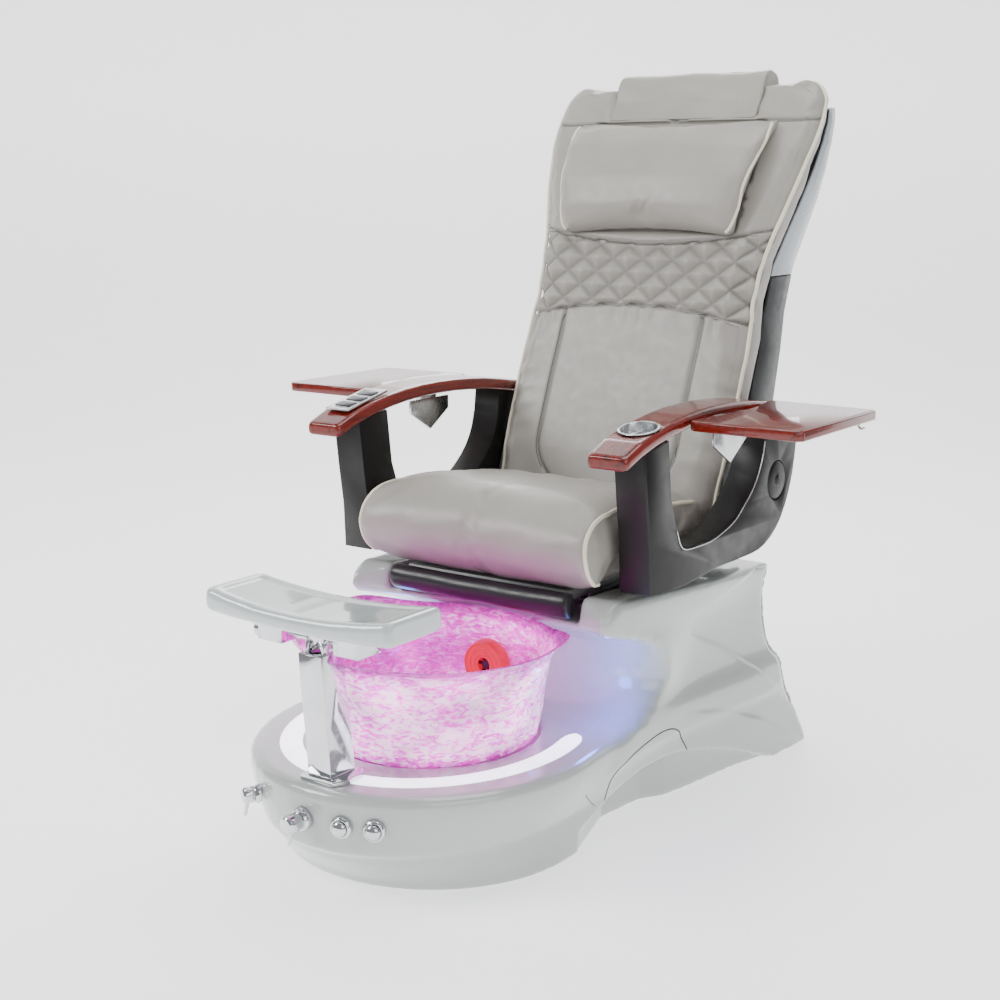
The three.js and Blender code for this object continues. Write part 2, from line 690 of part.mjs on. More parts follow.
const seatOutline = [
  [-122, 459],
  ...through(
    [[-152, 466], [-178, 492], [-190, 530], [-188, 566], [-170, 600], [-130, 622], [-70, 630]],
    12
  ),
  [0, 622],
  [140, 598],
  [262, 578],
  [262, 459],
];
add("seat_cushion", prismX(seatOutline, -SEAT_HALF_WIDTH, SEAT_HALF_WIDTH), leather);
const apronOutline = through(
  [[-132, 454], [-152, 456], [-166, 446], [-168, 430], [-160, 416], [-144, 410], [-131, 412]],
  12
);
add("seat_apron", prismX(apronOutline, -212, 212), vinyl);

const slideMotor = join(
  block(-30, 30, 226, 322, 330, 384.8),
  block(-16, 16, 226, 322, 380, SLIDE_Z),
  bar([0, 260, SLIDE_Z], [0, 60, SLIDE_Z], 12, 16)
);
const slideBore = bar([0, 50, SLIDE_Z], [0, 215, SLIDE_Z], 7.6, 14);
add("slide_actuator", cut(slideMotor, slideBore), darkPlastic);

// ---------- arms ----------
// Outline of the black side support in (Y, Z): a leaning front post and a swept rear column
// around an open window.
const supportOuter = [
  [-150, 738],
  [-138, 640],
  [-126, 560],
  [-122, 469],
  [-3, 463],
  ...through(
    [[140, 472], [286, 471], [344, 479], [396, 505], [436, 548], [466, 612], [480, 690], [484, 737]],
    14
  ),
];
const windowEdge = through(
  [[330, 722], [326, 690], [312, 650], [276, 604], [206, 556], [112, 533], [-7, 539]],
  14
);
const supportOutline = [
  ...supportOuter,
  [440, 746],
  [334, 750],
  ...windowEdge,
  [-30, 590],
  [-48, 640],
  [-62, 750],
];
// Top line of the wooden cap in (Y, Z).
const CAP_TOP = [[-226, 739], [-165, 760], [-100, 775], [-30, 786], [45, 792], [122, 793], [202, 790],
  [285, 783], [350, 773], [420, 763], [492, 752]];
const capTop = (y) => readTable(CAP_TOP, y);
const CAP_FRONT = -224;
const CAP_REAR = 486;
const CAP_STEPS = 13;
const capStation = (i) => CAP_FRONT + ((CAP_REAR - CAP_FRONT) * i) / CAP_STEPS;
const underCap = Array.from({ length: CAP_STEPS + 1 }, (_, i) => {
  const y = capStation(i);
  return [y, capTop(y) - CAP_THICKNESS - GAP];
});
const capCutter = prismX([...underCap, [500, 860], [-240, 860]], 200, 400);
const CUP = { x: 327, y: -112, radius: 36, depth: 23 };

function capSlice(y, shrink) {
  const z = capTop(y) - CAP_THICKNESS / 2;
  const halfWidth = (CAP_OUTER_X - CAP_INNER_X) / 2;
  const ring = roundedRing(halfWidth * shrink, (CAP_THICKNESS / 2) * shrink, 8 * shrink, 2);
  return ring.map(([a, b]) => new THREE.Vector3((CAP_OUTER_X + CAP_INNER_X) / 2 + a, y, z + b));
}
const capSlices = [];
for (let i = 0; i <= CAP_STEPS; i++) {
  const atEnd = i === 0 || i === CAP_STEPS;
  capSlices.push(capSlice(capStation(i), atEnd ? 0.86 : 1));
  if (i === 0) capSlices.push(capSlice(CAP_FRONT + 8, 0.98));
  if (i === CAP_STEPS - 1) capSlices.push(capSlice(CAP_REAR - 8, 0.98));
}
const armCap = loft(capSlices, ["x", "z"]);

const discRecess = bar([ARM_OUTER_X - 8, ...ARM_PIVOT], [ARM_OUTER_X + 10, ...ARM_PIVOT], 40.5, 24);
const spindleHole = bar([280, ...ARM_PIVOT], [400, ...ARM_PIVOT], 12.5, 20);
const supportBlank = prismX(supportOutline, ARM_INNER_X, ARM_OUTER_X);
const armSupport = cut(supportBlank, capCutter, discRecess, spindleHole);
const pivotDisc = turned([[0, 0], [39.5, 0], [39.5, 6], [34, 9], [12, 9], [9, 12], [0, 12]], 24);
pivotDisc.rotateZ(-Math.PI / 2).translate(ARM_OUTER_X - 7.6, ...ARM_PIVOT);
const spindle = bar([280, ...ARM_PIVOT], [ARM_OUTER_X - 7, ...ARM_PIVOT], 11.9, 20);
const armPivot = join(pivotDisc, spindle);

const trayOutline = [
  [377, -14],
  [388, -22],
  [590, -26],
  [602, -16],
  [604, 300],
  [590, 314],
  [384, 322],
  [376, 312],
  ...through([[376, 300], [392, 222], [396, 150], [390, 80], [378, 14]], 8),
];
const tray = prismZ(trayOutline, TRAY_TOP - TRAY_THICKNESS, TRAY_TOP);
// The folding bracket: a triangular plate on the arm, and a hinge leaf with knuckles under the tray.
const TRAY_Y = [96, 236];
const hingeBarrel = (y0, y1, radius) =>
  bar([TRAY_HINGE.x, y0, TRAY_HINGE.y], [TRAY_HINGE.x, y1, TRAY_HINGE.y], radius, 14);
const webOutline = [[100, 744], [232, 744], [232, 716], [168, 676], [100, 716]];
const bracketWeb = prismX(webOutline, ARM_OUTER_X + GAP, ARM_OUTER_X + 6);
const bracketArm = block(ARM_OUTER_X + 2, TRAY_HINGE.x, 140, 190, 738, 750);
const trayBracket = join(bracketWeb, hingeBarrel(140, 190, 6), bracketArm);
const trayLeaf = join(
  hingeBarrel(TRAY_Y[0], 139.6, 6),
  hingeBarrel(190.4, TRAY_Y[1], 6),
  block(TRAY_HINGE.x, 470, TRAY_Y[0], 139.6, 754, TRAY_TOP - TRAY_THICKNESS - GAP),
  block(TRAY_HINGE.x, 470, 190.4, TRAY_Y[1], 754, TRAY_TOP - TRAY_THICKNESS - GAP),
  block(440, 470, TRAY_Y[0], TRAY_Y[1], 754, TRAY_TOP - TRAY_THICKNESS - GAP)
);

for (const [side, mirror] of [["right", false], ["left", true]]) {
  const place = (geometry) => (mirror ? mirrorX(geometry) : geometry);
  const cupHole = onCap(bar([0, 0, -40], [0, 0, 20], CUP.radius + 1.2, 26), CUP.x, CUP.y);
  add(`arm_support_${side}`, place(armSupport), blackPlastic);
  add(`arm_cap_${side}`, place(mirror ? armCap : cut(armCap, cupHole)), wood);
  add(`arm_pivot_${side}`, place(armPivot), blackPlastic);
  add(`tray_${side}`, place(tray), wood);
  add(`tray_bracket_${side}`, place(trayBracket), silver);
  add(`tray_hinge_${side}`, place(trayLeaf), chrome);
}

// The cup holder and the keypad stand square to the cap's sloping top.
function onCap(geometry, x, y) {
  const slope = Math.atan2(capTop(y + 30) - capTop(y - 30), 60);
  return geometry.rotateX(slope).translate(x, y, capTop(y));
}

const cupProfile = [
  [0, -CUP.depth],
  [CUP.radius - 3, -CUP.depth],
  [CUP.radius - 0.4, -CUP.depth + 5],
  [CUP.radius, 1.2],
  [CUP.radius + 3.6, 1.2],
  [CUP.radius + 3, 3],
  [CUP.radius - 2, 3],
  [CUP.radius - 2.4, -CUP.depth + 6],
  [CUP.radius - 5, -CUP.depth + 2],
  [0, -CUP.depth + 2],
];
add("cup_holder", onCap(turned(cupProfile, 26).rotateX(Math.PI / 2), CUP.x, CUP.y), silver);

const KEYPAD = { x: -327, y: -118, width: 58, length: 128 };
const KEYS = [-34, 0, 34];
const keypadPlate = cut(
  block(-KEYPAD.width / 2, KEYPAD.width / 2, -KEYPAD.length / 2, KEYPAD.length / 2, 1.6, 6),
  ...KEYS.map((y) => block(-20, 20, y - 12, y + 12, 3, 8))
);
add("keypad_panel", onCap(keypadPlate, KEYPAD.x, KEYPAD.y), darkPlastic);
KEYS.forEach((y, i) => {
  const key = block(-19.4, 19.4, y - 11.4, y + 11.4, 4.2, 7.4);
  const slope = Math.atan2(capTop(KEYPAD.y + 30) - capTop(KEYPAD.y - 30), 60);
  key.rotateX(slope).translate(KEYPAD.x, KEYPAD.y, capTop(KEYPAD.y));
  add(`keypad_key_${i + 1}`, key, silver);
});

// ---------- back ----------
// The front face of the back in side view, and the half width of the back at each height.
const FRONT_LINE = [[470, 268], [560, 288], [640, 312], [720, 342], [800, 373], [880, 407], [960, 434],
  [1040, 460], [1120, 496], [1200, 533], [1280, 576], [1340, 614], [1400, 648]];
const HALF_WIDTH = [[470, 262], [620, 272], [720, 276], [880, 275], [960, 268], [1040, 275], [1120, 294],
  [1200, 312], [1280, 324], [1330, 327], [1370, 322], [1400, 304]];
const REAR_LINE = [[500, 440], [560, 492], [640, 548], [740, 588], [855, 618], [930, 642], [1030, 672],
  [1100, 692], [1170, 710], [1235, 722], [1290, 727], [1340, 728], [1384, 724]];
const DEPTH = [[470, 84], [1200, 84], [1280, 76], [1340, 64], [1414, 54]]; // of the back cushion
const frontOf = (z) => readTable(FRONT_LINE, z);
const widthOf = (z) => readTable(HALF_WIDTH, z);
const rearOf = (z) => readTable(REAR_LINE, z);
const depthOf = (z) => readTable(DEPTH, z);

function backSlice(z, inset, depth, corner) {
  const halfWidth = widthOf(z) - inset;
  const front = frontOf(z);
  const ring = roundedRing(halfWidth, depth / 2, corner, 3);
  return ring.map(([a, b]) => new THREE.Vector3(a, front + depth / 2 + b, z));
}
const backSlices = [];
for (const z of [488, 510, 560, 640, 720, 800, 880, 960, 1040, 1120, 1200, 1280, 1330, 1370]) {
  backSlices.push(backSlice(z, 0, depthOf(z), 24));
}
backSlices.push(backSlice(1400, 6, 46, 20), backSlice(1414, 30, 24, 10));
add("back_cushion", loft(backSlices), leather);

// The rear shell is a tray open towards the cushion.
function shellSlice(z, inset) {
  const front = frontOf(z) + depthOf(z) + 2 - (inset > 0 ? 20 : 0);
  const rear = rearOf(z) - inset;
  const halfWidth = widthOf(z) - 8 - inset;
  const rearHalf = halfWidth - 22;
  const depth = rear - front;
  const half = [[halfWidth, front], [halfWidth, front + depth * 0.55], [halfWidth - 5, rear - 22],
    [rearHalf, rear], [rearHalf * 0.5, rear + 4], [0, rear + 5.4]];
  return closeHalf([[0, front - 0.8], ...half], z, 0);
}
const SHELL_Z = [506, 560, 640, 740, 855, 930, 1030, 1100, 1170, 1235, 1290, 1330, 1360];
const shellOuter = loft(SHELL_Z.map((z) => shellSlice(z, 0)));
const shellInner = loft(SHELL_Z.map((z, i) => {
  const ring = shellSlice(z, SHELL_WALL);
  const nudge = i === 0 ? SHELL_WALL : i === SHELL_Z.length - 1 ? -SHELL_WALL : 0;
  return ring.map((point) => point.clone().add(new THREE.Vector3(0, 0, nudge)));
}));
const SHELL_SPLIT_Z = 1010;
const backShell = cut(shellOuter, shellInner);
const above = block(-400, 400, 200, 900, SHELL_SPLIT_Z + GAP, 1500);
const below = block(-400, 400, 200, 900, 400, SHELL_SPLIT_Z);
add("back_shell_upper", common(backShell, above), silver);
const frameSlot = block(-216, 216, 350, 418, 500, 514);
add("back_shell_lower", cut(common(backShell, below), frameSlot), vinyl);

// Steel back frame: two uprights behind the cushion, cross bars, and a hinge tube with a lever.
const UPRIGHT_Z = [500, 560, 640, 740, 860, 1020, 1150, 1230];
const uprightFront = UPRIGHT_Z.map((z) => [frontOf(z) + depthOf(z) + 9, z]);
const uprightRear = [...uprightFront].reverse().map(([y, z]) => [y + 45, z]);
const uprightOutline = [
  [RECLINE_PIVOT.x - 6, 470],
  ...uprightFront,
  ...uprightRear,
  [RECLINE_PIVOT.x + 12, 468],
];
const uprights = [-205, 187].map((x) => prismX(uprightOutline, x, x + 18));
const braceAt = (z) => {
  const y = frontOf(z + 16) + depthOf(z + 16) + 6;
  return block(-200, 200, y, y + 14, z, z + 16);
};
const hingeTube = bar([-296, ...RECLINE_PIVOT], [296, ...RECLINE_PIVOT], 8, 18);
const lever = prismX(
  [[344, 470], [346, 418], [358, 418], [360, 470]],
  ACTUATOR.x - 4,
  ACTUATOR.x + 4
);
add("back_frame", join(hingeTube, ...uprights, lever, ...[530, 1226].map(braceAt)), steel);

const actuatorAt = (y) => [ACTUATOR.x, y, ACTUATOR.z];
const actuatorBody = bar(actuatorAt(ACTUATOR.front), actuatorAt(250), 10, 18);
add("recline_actuator", cut(actuatorBody, bar(actuatorAt(180), actuatorAt(260), 5.6, 14)), darkPlastic);
const fork = [-12, 8].map((x) => block(ACTUATOR.x + x, ACTUATOR.x + x + 4, 330, 366, 418, 432));
const forkBase = block(ACTUATOR.x - 12, ACTUATOR.x + 12, 322, 332, 418, 430);
const rod = bar(actuatorAt(212), actuatorAt(324), 5, 14);
add("recline_rod", join(rod, forkBase, ...fork), steel);

// ---------- massage unit, along a line that leans with the back ----------
const massage = new THREE.Group();
massage.position.set(0, 440, 620);
massage.rotation.x = -RAIL_LEAN;
chair.add(massage);
const MASSAGE_RAIL_X = 110;
const MASSAGE_LENGTH = 600;
const endPlate = (z) => block(-186.5, 186.5, -11, 11, z - 6, z + 6);
const massageRails = [-1, 1].map((side) =>
  bar([side * MASSAGE_RAIL_X, 0, -20], [side * MASSAGE_RAIL_X, 0, MASSAGE_LENGTH], 7, 14)
);
add("massage_rails", join(...massageRails, endPlate(-20), endPlate(MASSAGE_LENGTH)), steel, massage);

const CARRIAGE_Z = 60;
const ROLLER_X = 62;
const ROLLER_Y = -22;
const carriageBlock = block(-128, 128, -14, 16, CARRIAGE_Z - 30, CARRIAGE_Z + 30);
const axle = bar([-84, ROLLER_Y, CARRIAGE_Z], [84, ROLLER_Y, CARRIAGE_Z], 5, 14);
const carriageArm = (x) => block(x - 4, x + 4, ROLLER_Y - 8, 0, CARRIAGE_Z - 8, CARRIAGE_Z + 8);
const bores = [-MASSAGE_RAIL_X, MASSAGE_RAIL_X].map((x) => bar([x, 0, -100], [x, 0, 300], 7.6, 16));
const rollerBay = [-1, 1].map((side) =>
  block(side * ROLLER_X - 17, side * ROLLER_X + 17, -20, 0, CARRIAGE_Z - 25, CARRIAGE_Z + 25)
);
const arms = [-84, 0, 84].map(carriageArm);
const kneadMotor = bar([-50, 8, CARRIAGE_Z + 12], [50, 8, CARRIAGE_Z + 12], 16, 20);
const carriage = cut(join(cut(carriageBlock, ...rollerBay), axle, ...arms, kneadMotor), ...bores);
add("massage_carriage", carriage, darkPlastic, massage);
const rollerProfile = [
  [5.4, -14], [15, -14], [19.5, -8], [20.5, 0], [19.5, 8], [15, 14], [5.4, 14], [5.4, -14],
];
for (const [side, sign] of [["right", 1], ["left", -1]]) {
  const roller = turned(rollerProfile, 18).rotateZ(Math.PI / 2);
  add(`massage_roller_${side}`, roller.translate(sign * ROLLER_X, ROLLER_Y, CARRIAGE_Z), rubber, massage);
}

// ---------- pillow and top flap ----------
const PILLOW = [
  { z: 1098, halfWidth: 198, depth: 26 },
  { z: 1112, halfWidth: 205, depth: 50 },
  { z: 1150, halfWidth: 212, depth: 72 },
  { z: 1215, halfWidth: 223, depth: 80 },
  { z: 1280, halfWidth: 234, depth: 70 },
  { z: 1316, halfWidth: 240, depth: 44 },
  { z: 1330, halfWidth: 238, depth: 20 },
];
const pillowRings = PILLOW.map(({ z, halfWidth, depth }) => {
  const middle = frontOf(z) - 5 - depth / 2;
  const ring = roundedRing(halfWidth, depth / 2, depth * 0.4, 2);
  return ring.map(([a, b]) => new THREE.Vector3(a, middle + b, z));
});
add("pillow", loft(pillowRings), leather);

const FLAP_HALF_WIDTH = 182;
const flapOutline = [
  [frontOf(1342) - 12, 1342],
  [frontOf(1380) - 14, 1380],
  ...through([[638, 1412], [652, 1434], [680, 1441], [706, 1432], [718, 1408], [717, 1368]], 10),
  [708, 1368],
  [708, 1400],
  [694, 1422],
  [664, 1424],
  [643, 1412],
  [frontOf(1380) - 3, 1380],
  [frontOf(1342) - 3, 1342],
];
add("top_flap", prismX(flapOutline, -FLAP_HALF_WIDTH, FLAP_HALF_WIDTH), leather);

export default chair;
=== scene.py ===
"""Pedicure spa chair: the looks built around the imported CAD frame."""
import json
import math

import bmesh
import bpy
import numpy as np
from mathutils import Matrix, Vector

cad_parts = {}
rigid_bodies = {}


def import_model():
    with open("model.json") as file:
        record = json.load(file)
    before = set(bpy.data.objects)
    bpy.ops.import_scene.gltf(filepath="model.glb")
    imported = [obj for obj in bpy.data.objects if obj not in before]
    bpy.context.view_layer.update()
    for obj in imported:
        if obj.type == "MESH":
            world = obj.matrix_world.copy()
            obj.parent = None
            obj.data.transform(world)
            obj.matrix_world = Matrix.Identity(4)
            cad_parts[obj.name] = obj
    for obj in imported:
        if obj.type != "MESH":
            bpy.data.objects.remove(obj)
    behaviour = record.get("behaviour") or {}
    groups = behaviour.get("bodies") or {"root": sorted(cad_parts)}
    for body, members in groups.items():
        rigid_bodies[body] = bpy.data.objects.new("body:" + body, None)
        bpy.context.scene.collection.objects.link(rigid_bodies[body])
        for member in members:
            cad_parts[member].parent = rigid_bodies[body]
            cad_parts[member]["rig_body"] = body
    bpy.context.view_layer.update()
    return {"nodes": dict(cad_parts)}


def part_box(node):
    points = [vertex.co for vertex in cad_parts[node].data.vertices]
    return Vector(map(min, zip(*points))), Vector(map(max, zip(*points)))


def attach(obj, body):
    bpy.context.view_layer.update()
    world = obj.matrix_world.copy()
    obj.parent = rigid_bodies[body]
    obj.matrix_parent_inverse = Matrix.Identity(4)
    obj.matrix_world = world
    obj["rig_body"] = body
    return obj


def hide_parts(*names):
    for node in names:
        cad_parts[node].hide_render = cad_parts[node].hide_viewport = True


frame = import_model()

import openvdb
from mathutils import Vector, noise

NODES = frame["nodes"]
NODE_BODY = {n: o["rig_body"] for n, o in NODES.items()}
MM = 0.001


# ---------- materials ----------
class Mat:
    """A node material under construction."""

    def __init__(self, name):
        self.mat = bpy.data.materials.new(name)
        self.mat.use_nodes = True
        self.tree = self.mat.node_tree
        self.shader = self.tree.nodes["Principled BSDF"]
        self.coord = self.tree.nodes.new("ShaderNodeTexCoord").outputs["Object"]
        self.normal = None

    def node(self, kind, **settings):
        made = self.tree.nodes.new(kind)
        for key, value in settings.items():
            if hasattr(made, key) and key not in made.inputs:
                setattr(made, key, value)
            else:
                made.inputs[key].default_value = value
        return made

    def link(self, out, into):
        self.tree.links.new(out, into)

    def scaled(self, scale, turn=(0, 0, 0)):
        mapping = self.node("ShaderNodeMapping")
        mapping.inputs["Scale"].default_value = scale
        mapping.inputs["Rotation"].default_value = turn
        self.link(self.coord, mapping.inputs["Vector"])
        return mapping.outputs["Vector"]

    def noise(self, scale, detail=3, vector=None, **more):
        made = self.node("ShaderNodeTexNoise", Scale=scale, Detail=detail, **more)
        self.link(vector or self.coord, made.inputs["Vector"])
        return made.outputs["Fac"]

    def cells(self, scale, feature="F1", vector=None, randomness=1.0):
        made = self.node("ShaderNodeTexVoronoi", Scale=scale, Randomness=randomness)
        made.feature = feature
        self.link(vector or self.coord, made.inputs["Vector"])
        return made.outputs["Distance"]

    def ramp(self, value, *stops):
        made = self.node("ShaderNodeValToRGB")
        band = made.color_ramp
        while len(band.elements) < len(stops):
            band.elements.new(0.5)
        for element, (at, color) in zip(band.elements, stops):
            element.position = at
            element.color = (*color, 1)
        self.link(value, made.inputs["Fac"])
        return made.outputs["Color"]

    def levels(self, value, low, high, out_low, out_high):
        made = self.node("ShaderNodeMapRange")
        for key, number in zip(("From Min", "From Max", "To Min", "To Max"), (low, high, out_low, out_high)):
            made.inputs[key].default_value = number
        self.link(value, made.inputs["Value"])
        return made.outputs["Result"]

    def bump(self, height, strength, distance):
        made = self.node("ShaderNodeBump", Strength=strength, Distance=distance)
        self.link(height, made.inputs["Height"])
        if self.normal:
            self.link(self.normal, made.inputs["Normal"])
        self.normal = made.outputs["Normal"]
        self.link(self.normal, self.shader.inputs["Normal"])
        return self

    def color(self, out):
        self.link(out, self.shader.inputs["Base Color"])
        return self

    def rough(self, out):
        self.link(out, self.shader.inputs["Roughness"])
        return self

    def set(self, **values):
        for key, value in values.items():
            self.shader.inputs[key.replace("_", " ")].default_value = value
        return self


def shade(color, factor):
    return tuple(min(1.0, c * factor) for c in color)


def leather(name, base, grain=1.0, rough=0.42, coat=0.08, specular=0.5):
    """Upholstery leather: broad colour drift, painted shade in the sewn channels, pebbled grain and soft wrinkles.
    """
    m = Mat(name)
    tone = m.ramp(m.noise(9, 4), (0.3, shade(base, 0.93)), (0.7, shade(base, 1.05)))
    # Painted shade: a mesh attribute darkens the colour to about a third in sewn channels and quilting grooves,
    # where shade falls.
    painted_shade = m.node("ShaderNodeAttribute", attribute_name="painted_shade")
    mixed = m.node("ShaderNodeMix", data_type="RGBA")
    m.link(painted_shade.outputs["Fac"], mixed.inputs[0])
    m.link(tone, mixed.inputs[6])
    mixed.inputs[7].default_value = (*shade(base, 0.34), 1)
    m.color(mixed.outputs[2])
    m.rough(m.levels(m.noise(45, 3), 0.3, 0.7, rough - 0.05, rough + 0.09))
    m.bump(m.cells(520), 0.22 * grain, 0.0006)
    m.bump(m.noise(160, 4), 0.18 * grain, 0.0010)
    m.bump(m.noise(15, 4), 0.16, 0.006)
    m.set(Coat_Weight=coat, Coat_Roughness=0.35, Specular_IOR_Level=specular)
    return m.mat


def moulded(name, base, rough=0.3, texture=0.1, scale=420, coat=0.0, drift=0.04, specular=0.5):
    """Moulded plastic, with a faint orange peel and a slight drift of tone."""
    m = Mat(name)
    m.color(m.ramp(m.noise(6, 3), (0.3, shade(base, 1 - drift)), (0.7, shade(base, 1 + drift))))
    m.rough(m.levels(m.noise(30, 3), 0.3, 0.7, max(rough - 0.05, 0.03), rough + 0.06))
    m.bump(m.noise(scale, 2), texture, 0.0006)
    m.set(Coat_Weight=coat, Coat_Roughness=0.06, Specular_IOR_Level=specular)
    return m.mat


def metal(name, base, rough=0.12, brushed=(1, 1, 1), scratch=0.06):
    """Bare or plated metal, with wear marks drawn out along its grain."""
    m = Mat(name)
    grain = m.scaled(brushed)
    m.color(m.ramp(m.noise(20, 4, grain), (0.3, shade(base, 0.93)), (0.7, shade(base, 1.03))))
    m.rough(m.levels(m.noise(70, 4, grain), 0.3, 0.7, max(rough - 0.05, 0.02), rough + 0.08))
    m.bump(m.noise(260, 3, grain), scratch, 0.0004)
    m.set(Metallic=1.0)
    return m.mat


def lacquered_wood(name, light, dark):
    """Red-brown wood under deep lacquer, its grain along Y."""
    m = Mat(name)
    along = m.scaled((26, 1.6, 26))
    figure = m.noise(2.2, 5, along, Distortion=0.6)
    m.color(m.ramp(figure, (0.3, dark), (0.5, light), (0.72, shade(dark, 1.5))))
    m.rough(m.levels(m.noise(80, 3, along), 0.3, 0.7, 0.16, 0.3))
    m.bump(m.noise(12, 3, along), 0.05, 0.0006)
    m.set(Coat_Weight=0.55, Coat_Roughness=0.03, Coat_IOR=1.5, Specular_IOR_Level=0.3)
    return m.mat


def glow(name, base, color, strength, mottle):
    """A lit translucent surface whose brightness drifts from place to place."""
    m = Mat(name)
    m.color(m.ramp(m.noise(mottle, 3), (0.3, base), (0.7, shade(base, 1.1))))
    light = m.ramp(m.noise(mottle, 3), (0.3, shade(color, 0.8)), (0.7, color))
    m.link(light, m.shader.inputs["Emission Color"])
    m.set(Emission_Strength=strength, Roughness=0.35)
    return m.mat


def glass_of_bowl():
    """Hammered magenta glass that glows by painted emission; a mesh attribute says where the light of the ring
    inside would shine through.
    """
    m = Mat("bowl_glass_lit")
    painted_glow = m.node("ShaderNodeAttribute", attribute_name="painted_glow").outputs["Fac"]
    m.color(m.ramp(m.noise(14, 4, Distortion=1.4), (0.3, (0.34, 0.006, 0.30)), (0.7, (0.74, 0.05, 0.56))))
    facets = m.cells(62, "SMOOTH_F1", m.scaled((1, 1, 1.7)))
    m.rough(m.levels(facets, 0.1, 0.7, 0.05, 0.2))
    # Painted light: streaks and white-hot spots in the emission, brightest where the glow attribute is high.
    streaks = m.noise(46, 5, m.scaled((1, 1, 2.3)), Distortion=1.2)
    lifted = m.node("ShaderNodeMath", operation="MULTIPLY_ADD")
    m.link(painted_glow, lifted.inputs[0])
    lifted.inputs[1].default_value = 0.19
    m.link(streaks, lifted.inputs[2])
    light = m.ramp(lifted.outputs[0], (0.38, (0.27, 0.004, 0.27)), (0.52, (0.72, 0.02, 0.58)),
                   (0.64, (1.0, 0.22, 0.90)), (0.73, (1.0, 0.90, 1.0)))
    m.link(light, m.shader.inputs["Emission Color"])
    product = m.node("ShaderNodeMath", operation="MULTIPLY")
    m.link(m.levels(painted_glow, 0, 1, 0.5, 1.9), product.inputs[0])
    m.link(m.levels(m.noise(9, 3), 0.35, 0.68, 0.55, 1.35), product.inputs[1])
    m.link(product.outputs[0], m.shader.inputs["Emission Strength"])
    m.bump(facets, 0.8, 0.010)
    m.bump(m.noise(90, 3), 0.3, 0.002)
    m.set(Transmission_Weight=0.3, IOR=1.45, Coat_Weight=1.0, Coat_Roughness=0.05)
    return m.mat


GREY = (0.335, 0.318, 0.288)
MATS = {
    "gelcoat": moulded("gelcoat_gloss", (0.43, 0.465, 0.445), 0.2, 0.05, 160, 0.6, 0.015),
    "steel": metal("frame_steel", (0.38, 0.39, 0.4), 0.4, (1, 8, 1), 0.15),
    "bowl_glass": glass_of_bowl(),
    "light_diffuser": glow("diffuser_lit", (0.9, 0.92, 1.0), (0.86, 0.91, 1.0), 3.4, 14),
    "chrome": metal("chrome_plate", (0.62, 0.63, 0.65), 0.07, (1, 1, 1), 0.02),
    "jet_red": glow("jet_lens_lit", (0.5, 0.004, 0.02), (1.0, 0.006, 0.05), 0.55, 40),
    "dark_plastic": moulded("dark_plastic_moulded", (0.03, 0.031, 0.033), 0.42, 0.3),
    "rubber": moulded("rubber_matt", (0.02, 0.02, 0.022), 0.7, 0.5, 300),
    "pad_shell": moulded("pad_gloss", (0.50, 0.55, 0.555), 0.14, 0.04, 160, 0.9, 0.015),
    "leather": leather("leather_grey", GREY),
    "black_vinyl": leather("vinyl_black", (0.010, 0.012, 0.013), 1.3, 0.33, 0.12, 0.4),
    "silver_panel": moulded("silver_satin", (0.36, 0.40, 0.43), 0.24, 0.12, 300, 0.5, 0.03),
    "black_plastic": moulded("arm_plastic_satin", (0.0048, 0.0045, 0.0042), 0.4, 0.35, 700, 0.0, 0.08, 0.3),
    "red_wood": lacquered_wood("wood_red_lacquer", (0.17, 0.0105, 0.0045), (0.052, 0.004, 0.0022)),
    "cream_piping": leather("piping_cream", (0.80, 0.755, 0.60), 0.6, 0.4),
}
MATS["brushed"] = metal("steel_brushed", (0.60, 0.61, 0.62), 0.26, (1, 12, 1), 0.12)
MATS["plate"] = metal("steel_painted_grey", (0.45, 0.46, 0.46), 0.5, (1, 1, 1), 0.1)
MATS["keypad_face"] = moulded("keypad_membrane", (0.045, 0.05, 0.055), 0.35, 0.2)
MATS["seam"] = moulded("seam_shadow", (0.085, 0.08, 0.072), 0.7, 0.2)
MATS["base_gap"] = moulded("panel_gap_shadow", (0.045, 0.048, 0.046), 0.7, 0.2)
MATS["thread"] = leather("stitch_thread", (0.36, 0.34, 0.31), 0.5, 0.6, 0.0)


# ---------- mesh helpers ----------
def make(name, points, faces, material, body=None, smooth=True):
    mesh = bpy.data.meshes.new(name)
    mesh.from_pydata([tuple(p) for p in points], [], [tuple(int(i) for i in f) for f in faces])
    mesh.update()
    obj = bpy.data.objects.new(name, mesh)
    bpy.context.scene.collection.objects.link(obj)
    mesh.materials.append(MATS[material])
    if smooth:
        mesh.shade_smooth()
    if body:
        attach(obj, body)
    return obj


def coords(obj):
    co = np.zeros(len(obj.data.vertices) * 3, np.float32)
    obj.data.vertices.foreach_get("co", co)
    return co.reshape(-1, 3).astype(float)


def set_coords(obj, co):
    obj.data.vertices.foreach_set("co", co.astype(np.float32).ravel())
    obj.data.update()


def normals(obj):
    no = np.zeros(len(obj.data.vertices) * 3, np.float32)
    obj.data.vertex_normals.foreach_get("vector", no)
    return no.reshape(-1, 3).astype(float)


def apply_all(obj):
    """Bakes an object's modifiers into its mesh."""
    graph = bpy.context.evaluated_depsgraph_get()
    graph.update()
    baked = bpy.data.meshes.new_from_object(obj.evaluated_get(graph))
    baked.name = obj.name
    obj.modifiers.clear()
    obj.data = baked
    return obj


def node_copy(name, *nodes):
    """One new object holding copies of CAD nodes' meshes, with coincident points merged."""
    bm = bmesh.new()
    for n in nodes:
        bm.from_mesh(NODES[n].data)
    bmesh.ops.remove_doubles(bm, verts=bm.verts, dist=2e-5)
    bmesh.ops.dissolve_limit(bm, angle_limit=math.radians(0.6), verts=bm.verts, edges=bm.edges)
    mesh = bpy.data.meshes.new(name)
    bm.to_mesh(mesh)
    bm.free()
    obj = bpy.data.objects.new(name, mesh)
    bpy.context.scene.collection.objects.link(obj)
    return obj


